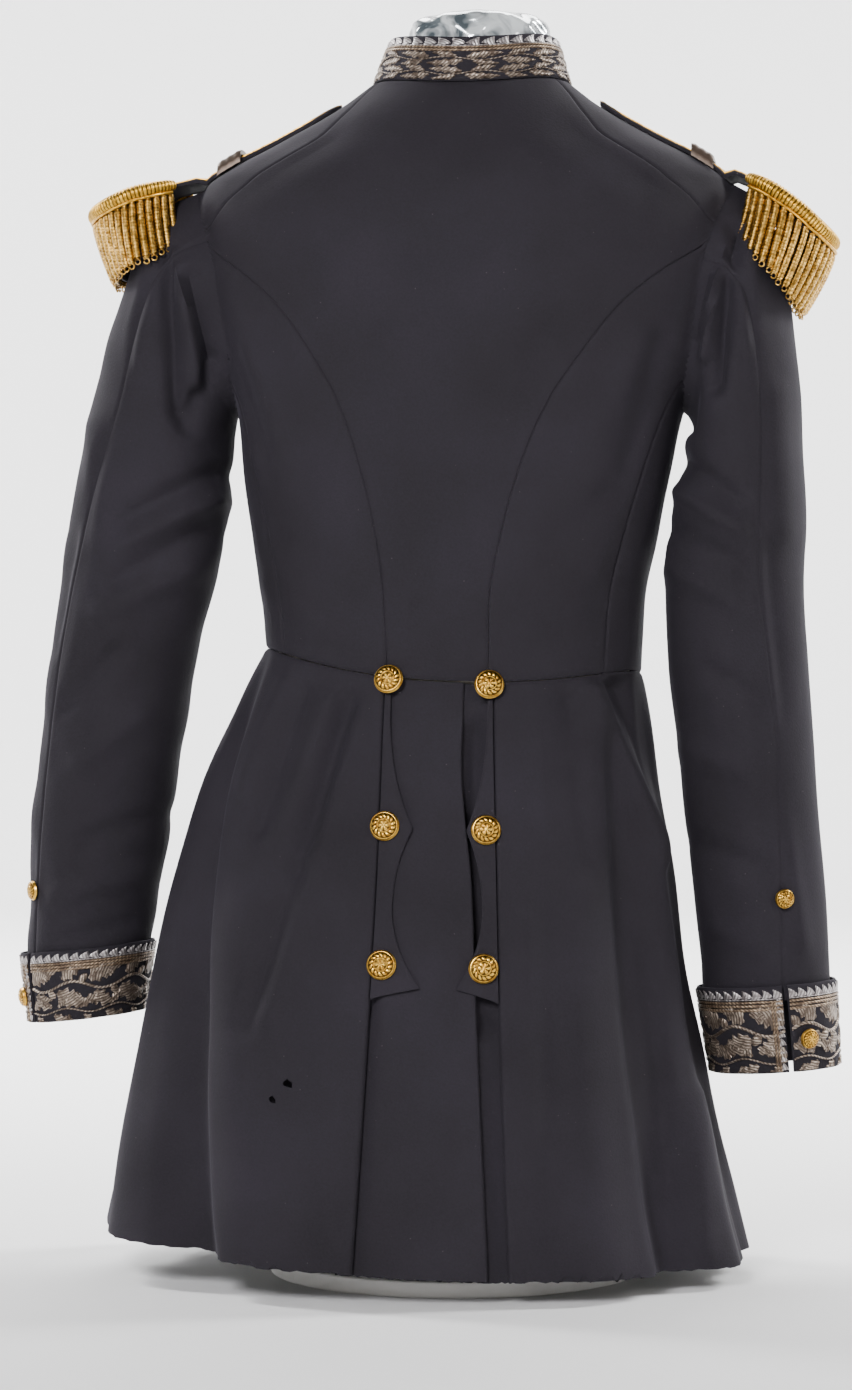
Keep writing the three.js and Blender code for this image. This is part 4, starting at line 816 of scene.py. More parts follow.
def sleeve_points(hand, side, turn, v):
    """The sleeve from inside the armhole's rim, over the head and down the arm."""
    first = SLEEVE[hand]["v"][0]
    tube = on_tube(SLEEVE[hand], turn, np.maximum(v, first))
    y = ARMHOLE["y"] - (ARMHOLE["depth"] - RIM["inset"]) * np.sin(turn)
    z = ARMHOLE["z"] + (ARMHOLE["height"] - RIM["inset"]) * np.cos(turn)
    near = np.clip(v / RIM["level"], 0, 1)
    x = bodice_x(side, y, z) + side * (RIM["stand"] * near - RIM["sink"] * (1 - near))
    start = np.stack([x, y, z], axis=-1)
    share = np.clip((v - RIM["level"]) / (first - RIM["level"]), 0, 1)[..., None]
    return start + (tube - start) * share


for hand, side in HANDS:
    levels = np.concatenate([[0, 0.01, 0.02, 0.035, 0.05], np.linspace(0.065, 1, 130)])
    for kind, columns in (("top_sleeve_", 66), ("under_sleeve_", 54)):
        start = along(HINDARM[hand], levels, "turn")[:, None]
        end = FOREARM_TURN if kind == "under_sleeve_" else FOREARM_TURN - 360
        shares = edge_steps(columns, 1 / 150)
        turn = np.radians(start + (end - start) * shares[None, :])
        level = np.repeat(levels[:, None], len(shares), axis=1)
        grid = sleeve_points(hand, side, turn, level)
        centre = on_tube(SLEEVE[hand], math.pi / 2, levels[:, None])
        centre[..., 1] = along(SLEEVE[hand], np.maximum(levels, SLEEVE[hand]["v"][0]), "middleY")[:, None]
        normal = grid_normals(grid, centre)
        back_side = np.clip(0.5 + np.sin(turn) * 1.2, 0, 1)
        left, right = edge_distance(grid, 1)
        from_head, from_cuff = edge_distance(grid, 0)
        calm = (np.clip(np.minimum(left, right) / 10, 0.15, 1) * np.clip((from_head - 4) / 14, 0, 1)
                * np.clip((from_cuff - 12) / 20, 0, 1))
        rise = soft_lines(grid, SLEEVE_LINES[hand], back_side * CREASE_DEPTHS[0])
        rise += soft_lines(grid, SLEEVE_LINES[hand], (1 - back_side) * CREASE_DEPTHS[1])
        rise += slow_waves(grid, 40 + side, 0.9)
        grid = grid + normal * (rise * calm)[..., None]
        grid = pressed(grid, normal, sides=(1, 1, 0, 0))
        part = cloth_piece(kind + hand + "_cloth", grid, normal)
        finish_piece(part, "wool_cloth", WOOL, kind + hand)

# Cuffs and collar: bands of the same cloth, worked with aged silver thread laid over card: an edging of saw
# teeth, a double braid, a row of oak leaves and acorns on a winding stem, and a lesser row of leaves.
CUFF = {
    "left": table(RING, [[0, -343, 236, -238, 247, 30, 50.5], [1, -338, 182, -247, 192, 36, 46.5]]),
    "right": table(RING, [[0, 288, 222, 182, 215, 30, 50.5], [1, 291, 156, 192, 150, 37, 46.5]]),
}
CUFF_SLIT = 2.2
CUFF_ROUND = 305
CUFF_HEIGHT = {"left": 54, "right": 65}
COLLAR_ROUND = 388
COLLAR_HEIGHT = 40
COLLAR_TOP = table(LEVEL, [
    [0, 928, 931, 906, 931, 64, 56, 54, 15, 2], [1, 928, 931, 906, 931, 64, 56, 54, 15, 2]])
COLLAR_OPENING = 2


def laid_thread(name, dark, light, gilt):
    # Flattened silver wire wound on silk, tarnished to brown-grey in patches. The lines of light along the
    # rows of thread are painted into the colour: painted highlight on each row, painted shade between rows.
    material, tree, surface = new_material(name, Metallic=gilt, Roughness=0.42)
    place = add_node(tree, "ShaderNodeTexCoord")
    cloud = add_node(tree, "ShaderNodeTexNoise", None,
                     {"Vector": place.outputs["Object"], "Scale": 190.0, "Detail": 4.0})
    sharper = add_node(tree, "ShaderNodeMapRange", None, {0: cloud.outputs[0], 1: 0.36, 2: 0.64})
    # Threads are 0.3 mm apart on the real piece and are drawn 0.8 mm apart, so that they show.
    threads = add_node(tree, "ShaderNodeTexWave", {"bands_direction": "DIAGONAL"},
                       {"Vector": place.outputs["UV"], "Scale": 210.0, "Distortion": 1.5})
    # Painted highlight and shade: the thread rows lighten and darken the tarnished colour.
    tone = add_node(tree, "ShaderNodeMath", {"operation": "MULTIPLY"},
                    {0: sharper.outputs[0], 1: threads.outputs["Fac"]})
    tree.links.new(two_tones(tree, tone.outputs[0], dark, light), surface.inputs["Base Color"])
    bump = add_node(tree, "ShaderNodeBump", None,
                    {"Height": threads.outputs["Fac"], "Strength": 0.7, "Distance": 0.0003})
    tree.links.new(bump.outputs[0], surface.inputs["Normal"])
    return material


LEAF_THREAD = laid_thread("tarnished_silver_thread", "#4f4238", "#b3a596", 0.6)
TOOTH_THREAD = laid_thread("bright_silver_thread", "#77706f", "#d6d2d0", 0.7)
BRAID_THREAD = laid_thread("browned_silver_braid", "#574638", "#a8937a", 0.6)


def run_length(line):
    """How far along a line each of its points is."""
    return np.concatenate([[0], np.cumsum(np.linalg.norm(np.diff(line, axis=0), axis=1))])


def turn_outwards(piece):
    """Turns the faces of closed shells outwards."""
    bm = bmesh.new()
    bm.from_mesh(piece.data)
    bmesh.ops.recalc_face_normals(bm, faces=bm.faces)
    bm.to_mesh(piece.data)
    bm.free()


def raised(points, halves, profile, height):
    """A raised strip along a line on the flat: its half breadths, and pairs of across and up as shares."""
    points = np.asarray(points, float)
    run = np.gradient(points, axis=0)
    run /= np.maximum(np.linalg.norm(run, axis=1, keepdims=True), 1e-9)
    side = np.stack([-run[:, 1], run[:, 0]], axis=1)
    length = run_length(points)
    heights = np.broadcast_to(height, len(points))
    corners = []
    marks = []
    for i, half in enumerate(np.broadcast_to(halves, len(points))):
        for across, up in profile:
            s, t = points[i] + side[i] * across * half
            corners.append((s, t, up * heights[i]))
            marks.append((length[i] * MM, across * half * MM))
    return corners, ring_faces(len(points), len(profile)), marks


LEAF_PROFILE = [(-1, 0), (-0.6, 1), (-0.12, 0.5), (0.12, 0.5), (0.6, 1), (1, 0)]
CORD_PROFILE = [(-1, 0), (-0.55, 0.9), (0, 1), (0.55, 0.9), (1, 0)]


def oak_leaf(s, t, heading, length, width, curl, lobes):
    """A lobed leaf from its foot, along a vein that curls."""
    share = np.linspace(0.02, 1, 19)
    angle = math.radians(heading) + math.radians(curl) * (share - 0.3)
    step = length / 18
    line = np.array([s, t]) + np.cumsum(np.stack([np.cos(angle), np.sin(angle)], axis=1) * step, axis=0)
    body = np.sin(math.pi * np.clip(share, 0, 1) ** 0.75) ** 0.65
    halves = width / 2 * body * (1 + 0.3 * np.cos(2 * math.pi * lobes * share + 0.6)) + 0.12
    return raised(line, halves, LEAF_PROFILE, 0.25 + 0.95 * body)


def acorn(s, t, heading, length, width):
    """An acorn in its cup, from its foot."""
    share = np.linspace(0, 1, 9)
    run = np.array([math.cos(math.radians(heading)), math.sin(math.radians(heading))])
    line = np.array([s, t]) + share[:, None] * run * length
    halves = width / 2 * np.where(share < 0.4, 1.12 * np.sqrt(np.clip(share / 0.4, 0.08, 1)),
                                  np.sqrt(np.clip(1 - ((share - 0.4) / 0.62) ** 2, 0.02, 1)))
    return raised(line, halves, CORD_PROFILE, 0.4 + 1.2 * halves / halves.max())


def tooth(s, t, breadth, height, lean, up=(0, -1)):
    """One tooth of the edging: it stands on its base and leans, with a heavier slanting side."""
    share = np.linspace(0, 1, 5)[:, None]
    up = np.array(up, float)
    side = np.array([-up[1], up[0]])
    line = np.array([s, t]) + up * height * share + side * lean * share ** 1.5
    halves = breadth / 2 * (1 - share[:, 0] ** 1.2) + 0.25
    return raised(line, halves, [(-1, 0), (-0.5, 1), (0.5, 0.6), (1, 0)], 0.9)


def worked_band(length, height, plan, mirror, lap_end=None):
    """All the embroidery of a band: lists of strips for the teeth, the braid and the leaves."""
    teeth, braid, leaves = [], [], []
    top, bottom = plan["teeth"]
    count = int(length / plan["tooth"])
    for i in range(count):
        s = (i + 0.5) * length / count
        lean = 0.4 * plan["tooth"] * (1 if (s > length / 2 or not mirror) else -1)
        teeth.append(tooth(s, bottom * height, length / count * 1.05, (bottom - top) * height, lean))
    lines = np.linspace(0.6, length - 0.6, max(40, int(length / 3)))

    def cord(share, half, high):
        """A cord along the band, at a share of its height from the top edge."""
        return raised(np.stack([lines, lines * 0 + share * height], axis=1), half, CORD_PROFILE, high)

    teeth.append(cord(bottom + 0.012, 0.5, 0.8))
    for share, half in plan["braid"]:
        braid.append(cord(share, half, 1.1))
    for (row_top, row_bottom), step in plan["leaves"]:
        deep = (row_bottom - row_top) * height
        middle = row_top * height + deep / 2
        runs = max(4, int(round(length / step / 2)) * 2)
        step = length / runs
        wave = np.linspace(0.6, length - 0.6, runs * 9)
        sway = middle + 0.16 * deep * np.sin(wave / step * math.pi)
        leaves.append(raised(np.stack([wave, sway], axis=1), 0.05 * deep, CORD_PROFILE, 1.1))
        for i in range(runs):
            way = 1 if ((i + 0.5) * step > length / 2 or not mirror) else -1
            rise = 1 if i % 2 else -1
            ahead = 0 if way > 0 else 180
            foot = (i + 0.5) * step - way * step * 0.5
            wide = plan["spread"]
            leaves.append(oak_leaf(foot, middle + rise * 0.12 * deep, ahead + way * rise * 30 * wide,
                                   step * 1.04, deep * 0.56, -way * rise * 46 * wide, 4))
            leaves.append(oak_leaf(foot + way * step * 0.2, middle - rise * 0.2 * deep,
                                   ahead - way * rise * 44 * wide, step * 0.74, deep * 0.44,
                                   way * rise * 52 * wide, 3))
            if wide > 0.8:
                leaves.append(oak_leaf(foot + way * step * 0.62, middle + rise * 0.2 * deep,
                                       ahead + way * rise * 82, deep * 0.34, deep * 0.24, way * rise * 40, 2))
            if deep > 15:
                leaves.append(acorn(foot + way * step * 0.72, middle - rise * 0.14 * deep,
                                    ahead - way * rise * 40, deep * 0.36, deep * 0.26))
    if lap_end is not None:
        inward = -1 if lap_end > length / 2 else 1
        rows = np.linspace(0.17 * height, 0.97 * height, 24)
        for away, half in ((6.2, 1.1), (8.4, 1.1)):
            braid.append(raised(np.stack([rows * 0 + lap_end + inward * away, rows], axis=1), half,
                                CORD_PROFILE, 1.35))
        for i in range(9):
            t = (0.17 + 0.095 * i) * height
            teeth.append(tooth(lap_end + inward * 5, t, 6.2, 4.2, -2, up=(-inward, 0)))
    return {"teeth": teeth, "braid": braid, "leaves": leaves}


def lay_on(name, strips, place, material, lift=0.0):
    """Joins strips that were drawn flat into one mesh, laid on a surface: place gives point and normal."""
    points, faces, marks = [], [], []
    for corners, some, uv in strips:
        start = len(points)
        points += corners
        marks += uv
        faces += [tuple(start + i for i in face) for face in some]
    flat = np.array(points)
    spot, normal = place(flat[:, 0], flat[:, 1])
    piece = mesh_piece(name, spot + normal * (flat[:, 2] + lift)[:, None], faces, 60, marks)
    turn_outwards(piece)
    return finish_piece(piece, "embroidered_cloth", material)


def normal_of(surface, a, b, inside):
    """Directions straight out of a surface at any of its points, away from a point inside it."""
    step = 1e-3
    across = surface(a + step, b) - surface(a - step, b)
    down = surface(a, b + step) - surface(a, b - step)
    normal = np.cross(across, down)
    normal /= np.linalg.norm(normal, axis=-1, keepdims=True)
    flip = np.mean(np.sum(normal * (surface(a, b) - inside), axis=-1)) < 0
    return -normal if flip else normal


def worked_piece(name, surface, turns, length, height, inside, plan, mirror, lap_end):
    """A band of cloth with its embroidery. The surface takes a turn and a share from the top edge down."""
    shares = edge_steps(26, 0.012)
    columns = np.linspace(turns[0], turns[1], 132)
    turn = np.repeat(columns[None, :], len(shares), axis=0)
    level = np.repeat(shares[:, None], len(columns), axis=1)
    grid = surface(turn, level)
    normal = grid_normals(grid, inside)
    grid = grid + normal * (0.25 + 0.25 * np.sin(turn * 9 + level * 5))[..., None]
    grid = pressed(grid, normal, 0.8, 1.0)
    cloth = cloth_piece(name + "_cloth", grid, normal, CLOTH)
    finish_piece(cloth, "embroidered_cloth", WOOL, name)

    def place(s, t):
        a = turns[0] + (turns[1] - turns[0]) * np.clip(s / length, 0.002, 0.998)
        b = np.clip(t / height, 0.01, 0.982)
        return surface(a, b), normal_of(surface, a, b, inside)

    strips = worked_band(length, height, plan, mirror, lap_end)
    worked = [lay_on(name + "_teeth", strips["teeth"], place, TOOTH_THREAD, 0.35),
              lay_on(name + "_braid", strips["braid"], place, BRAID_THREAD, 0.35),
              lay_on(name + "_leaves", strips["leaves"], place, LEAF_THREAD, 0.3)]


# Rows of the work as shares of the band's height, from the top edge. Lengths are in millimetres.
CUFF_PLAN = {"teeth": (0.03, 0.125), "tooth": 7.2, "braid": [(0.17, 1.0), (0.212, 1.2), (0.258, 1.2)],
             "leaves": [((0.30, 0.71), 27), ((0.74, 0.97), 21)], "spread": 1.0}
COLLAR_PLAN = {"teeth": (0.04, 0.2), "tooth": 10.5, "braid": [(0.245, 0.9), (0.305, 1.3)],
               "leaves": [((0.37, 0.64), 25), ((0.70, 0.96), 22)], "spread": 0.3}

for hand, side in HANDS:
    vent = math.radians(float(along(HINDARM[hand], 1, "turn")))
    slit = math.radians(CUFF_SLIT)
    middle = np.array([(CUFF[hand]["outerX"][0] + CUFF[hand]["innerX"][0]) / 2, 33.0, 200.0])
    # From behind, the slit's edging is on its left: where the left cuff's turns end and the right's start.
    worked_piece("cuff_" + hand, lambda a, b, rows=CUFF[hand]: on_tube(rows, a, b),
                 (vent + slit, vent + 2 * math.pi - slit), CUFF_ROUND, CUFF_HEIGHT[hand], middle, CUFF_PLAN,
                 False, CUFF_ROUND if hand == "left" else 0)


def collar_surface(turn, share):
    """Points of the collar, from its top edge down to the neck seam."""
    low = on_level(BODICE, turn, np.ones_like(turn))
    low[..., 2] += 0.3
    high = on_level(COLLAR_TOP, turn, np.zeros_like(turn))
    return high + (low - high) * np.asarray(share)[..., None]


collar_end = math.pi - math.radians(COLLAR_OPENING)
worked_piece("collar", collar_surface, (-collar_end, collar_end), COLLAR_ROUND, COLLAR_HEIGHT,
             np.array([14.0, 0.0, 905.0]), COLLAR_PLAN, True, None)


# Buttons: stamped from sheet brass and gilt, a dome on a rolled rim with a plain wreath and a boss, bright on
# the high places and darkened in the hollows by painted shade with some grime.
def gilt_brass():
    # Brass with a worn mercury gilding: bright yellow gold, rubbed on the high places; the hollows are
    #     # dark with painted shade and some grime.
    material, tree, surface = new_material("fire_gilt_brass", Metallic=1.0, Roughness=0.27)
    place = add_node(tree, "ShaderNodeTexCoord").outputs["Object"]
    cloud = add_node(tree, "ShaderNodeTexNoise", None, {"Vector": place, "Scale": 260.0, "Detail": 5.0})
    sharper = add_node(tree, "ShaderNodeMapRange", None, {0: cloud.outputs[0], 1: 0.35, 2: 0.6})
    gold = two_tones(tree, sharper.outputs[0], "#b07c2c", "#e3b653")
    # Painted shade: the lower a place of the stamping, the darker its colour.
    relief_height = add_node(tree, "ShaderNodeAttribute", {"attribute_name": "relief"})
    hollow_shade = add_node(tree, "ShaderNodeMapRange", None, {0: relief_height.outputs["Fac"], 1: 0.42, 2: 0.08})
    shade_and_grime = add_node(tree, "ShaderNodeMix", {"data_type": "RGBA"},
                     {0: hollow_shade.outputs[0], 6: gold, 7: linear("#4a3212")})
    tree.links.new(shade_and_grime.outputs[2], surface.inputs["Base Color"])
    rough = add_node(tree, "ShaderNodeMapRange", None, {0: cloud.outputs[0], 3: 0.42, 4: 0.2})
    tree.links.new(rough.outputs[0], surface.inputs["Roughness"])
    return material


GILT = gilt_brass()
BUTTON_STEPS = 72
STAMPING = 0.05
# Radius and height.
COAT_BUTTON = (11, 6)
CUFF_BUTTON = (7.5, 5)


def button_relief(share, turn):
    """How far the stamping stands up, from 0 to 1: a rope at the rim, a wreath, a ring and a rosette."""
    rope = np.exp(-((share - 0.9) / 0.035) ** 2) * (0.75 + 0.25 * np.sin(30 * turn))
    leaves = np.exp(-((share - 0.66) / 0.1) ** 2) * (0.5 + 0.5 * np.cos(14 * turn + 14 * share))
    ring = np.exp(-((share - 0.46) / 0.025) ** 2)
    rosette = np.exp(-((share - 0.24) / 0.12) ** 2) * (0.55 + 0.45 * np.cos(6 * turn))
    boss = np.exp(-(share / 0.09) ** 2)
    return np.clip(rope + leaves + ring + rosette + boss, 0, 1)


def mark_relief(piece, high):
    """Keeps how far each point stands out, from 0 to 1, for the material."""
    piece.data.attributes.new("relief", "FLOAT", "POINT").data.foreach_set("value", high)


def gilt_button(node, radius, height):
    """A button on the axis of its solid: the solid's broad end is its back."""
    solid = np.array([vertex.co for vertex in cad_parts[node].data.vertices]) / MM
    middle = solid.mean(axis=0)
    axis = np.linalg.svd(solid - middle)[2][2]
    up = (solid - middle) @ axis
    reach = np.linalg.norm(solid - middle - up[:, None] * axis, axis=1)
    if reach[up > 0].mean() > reach[up < 0].mean():
        axis, up = -axis, -up
    foot = middle + axis * up.min()
    right = np.cross(axis, [0.0, 0.0, 1.0])
    right /= np.linalg.norm(right)
    top = np.cross(right, axis)
    turn = np.linspace(0, 2 * math.pi, BUTTON_STEPS + 1)[:-1]
    rings = [(0.5, 0.0, 0), (0.93, 0.0, 0), (0.985, 0.5, 0), (1.0, 1.0, 0), (0.985, 1.45, 0), (0.94, 1.7, 0)]
    for share in np.linspace(0.93, 0.02, 26):
        rings.append((share, 1.5 + (height - 1.9) * math.sqrt(1 - share ** 2 * 0.97), 1))
    points = []
    relief_height = []
    for share, rise, stamped in rings:
        high = button_relief(share, turn) if stamped else 1 + 0 * turn
        relief_height.append(high)
        lift = rise + (radius * STAMPING * (high - 0.5) if stamped else 0 * turn)
        points.append(foot + radius * share * (np.cos(turn)[:, None] * right + np.sin(turn)[:, None] * top)
                      + lift[:, None] * axis)
    button = mesh_piece("gilt_" + node, np.concatenate(points), ring_faces(len(rings), BUTTON_STEPS), 60)
    mark_relief(button, np.concatenate(relief_height))
    turn_outwards(button)
    finish_piece(button, "gilt_brass", GILT, node)


for hand, _ in HANDS:
    for row in (1, 2, 3):
        gilt_button(f"back_button_{hand}_{row}", *COAT_BUTTON)
    for row in (1, 2):
        gilt_button(f"cuff_button_{hand}_{row}", *CUFF_BUTTON)
for row in range(1, 9):
    gilt_button(f"front_button_{row}", *COAT_BUTTON)

# Epaulettes: a stiff board covered in black cloth and laced with gold, a wound roll round its field, a cord
# under the roll, and a fringe of bullion coils with a black liner inside. The strap runs under the passant.
STRAP = table(["v", "breadth"], [
    [0.872, 27], [0.895, 27], [0.92, 27], [0.945, 27], [0.965, 27], [0.975, 22], [0.981, 9]])
FIELD = {
    "left": table(["out", "z", "breadth"], [
        [206, 826, 27], [217, 823.5, 27], [225, 822, 29], [234, 820, 39],
        [248, 816.5, 44], [262, 811, 39.4], [273, 806, 25], [278.5, 803.5, 8]]),
    "right": table(["out", "z", "breadth"], [
        [206, 826, 27], [212, 823.5, 27], [219, 820.5, 28], [228, 816, 39],
        [241, 807.5, 44], [254, 797, 39], [263, 788, 25], [268.5, 782.5, 8]]),
}
CRESCENT = {"left": (248, 37.5), "right": (241, 35)}
CRESCENT_BREADTH = 50.5
BOARD = {"x": 9, "y": 2, "thick": 3.5, "strap_crown": 0.0035, "field_crown": 0.0012}
STRAP_ROWS = 44
FIELD_ROWS = 56
FIELD_START = 204
BOARD_COLUMNS = 25
ROLL = {"radius": 5.9, "tip": 3.2, "sweep": 138, "rib": 2.8, "rib_depth": 0.9}
FRINGE = {"sweep": 134, "full": 105, "coils": 31, "length": 45, "short": 37, "radius": 2.95, "turn": 2.4}
# How far the ends of the bullions lean in towards the arm at the tip, and out to the back and the front.
FRINGE_LEAN = {"left": (15, 13), "right": (22, 13)}
LINER = {"inset": 9, "length": 48, "thick": 1.5, "sweep": 102}
PASSANT = {"from": 0.914, "to": 0.888, "reach": 33, "thick": 3.2}


def gold_bullion(name, rib, low, high):
    # Gilt wire wound over cotton: bright turns, some duller than others, with brown shadow between them.
    material, tree, surface = new_material(name, Metallic=1.0, Roughness=0.32)
    place = add_node(tree, "ShaderNodeTexCoord")
    cloud = add_node(tree, "ShaderNodeTexNoise", None,
                     {"Vector": place.outputs["Object"], "Scale": 300.0, "Detail": 2.0})
    sharper = add_node(tree, "ShaderNodeMapRange", None, {0: cloud.outputs[0], 1: 0.36, 2: 0.64})
    gold = two_tones(tree, sharper.outputs[0], low, high)
    relief_height = add_node(tree, "ShaderNodeAttribute", {"attribute_name": "relief"})
    hollow_shade = add_node(tree, "ShaderNodeMapRange", None, {0: relief_height.outputs["Fac"], 1: 0.7, 2: 0.1, 4: 0.9})
    shadow = add_node(tree, "ShaderNodeMix", {"data_type": "RGBA"},
                      {0: hollow_shade.outputs[0], 6: gold, 7: linear("#3a250a")})
    tree.links.new(shadow.outputs[2], surface.inputs["Base Color"])
    winding = add_node(tree, "ShaderNodeTexWave", {"bands_direction": "X"},
                      {"Vector": place.outputs["UV"], "Scale": 2 * math.pi / 20 / (rib * MM)})
    bump = add_node(tree, "ShaderNodeBump", None,
                    {"Height": winding.outputs["Fac"], "Strength": 0.6, "Distance": 0.0003})
    tree.links.new(bump.outputs[0], surface.inputs["Normal"])
    return material


ROLL_GOLD = gold_bullion("gilt_wire_roll", 0.7, "#b08228", "#e6b648")
COIL_GOLD = gold_bullion("gilt_wire_coils", 0.9, "#8f6a2a", "#e2b55c")
LACE_GOLD = gold_bullion("gilt_lace", 1.2, "#8a6420", "#cf9f3e")


def shoulder_height(x, y):
    """Height of the cloth at a place on the shoulder, found by halving."""
    low = np.full_like(x, 0.7)
    high = np.full_like(x, 1.0)
    for _ in range(30):
        v = (low + high) / 2
        square = along(BODICE, v, "square")
        fill = np.abs((x - along(BODICE, v, "shift")) / along(BODICE, v, "half")) ** square
        fill += np.abs(y / depth_at(v, y)) ** square
        low = np.where(fill < 1, v, low)
        high = np.where(fill < 1, high, v)
    square = along(BODICE, low, "square")
    sine = bend((x - along(BODICE, low, "shift")) / along(BODICE, low, "half"), square / 2)
    cosine = bend(-y / depth_at(low, y), square / 2)
    return on_level(BODICE, np.arctan2(sine, cosine), low)[..., 2]


def sweep_tube(line, radius, sides, up, relief=1.0):
    """Rings of points round a line, with the marks of a wound surface: length along and round."""
    run = np.gradient(line, axis=0)
    run /= np.linalg.norm(run, axis=1, keepdims=True)
    side = np.cross(run, up)
    side /= np.linalg.norm(side, axis=1, keepdims=True)
    top = np.cross(side, run)
    turn = np.linspace(0, 2 * math.pi, sides + 1)[:-1]
    radius = np.broadcast_to(radius, len(line))[:, None, None]
    rings = (line[:, None] + radius * (side[:, None] * np.cos(turn)[None, :, None]
                                       + top[:, None] * np.sin(turn)[None, :, None]))
    length = run_length(line)
    marks = np.stack([np.repeat(length[:, None] * MM, sides, 1),
                      np.repeat(turn[None, :] * MM, len(line), 0)], axis=-1)
    return (rings.reshape(-1, 3), ring_faces(len(line), sides), marks.reshape(-1, 2),
            np.repeat(np.broadcast_to(relief, len(line)), sides))


def join_tubes(name, tubes, slot, material, *nodes):
    """Joins swept tubes into one piece."""
    points, faces, marks, high = [], [], [], []
    total = 0
    for some, quads, uv, relief in tubes:
        points.append(some)
        marks.append(uv)
        high.append(relief)
        faces += [tuple(total + i for i in quad) for quad in quads]
        total += len(some)
    piece = mesh_piece(name, np.concatenate(points), faces, 60, np.concatenate(marks))
    mark_relief(piece, np.concatenate(high))
    turn_outwards(piece)
    return finish_piece(piece, slot, material, *nodes)


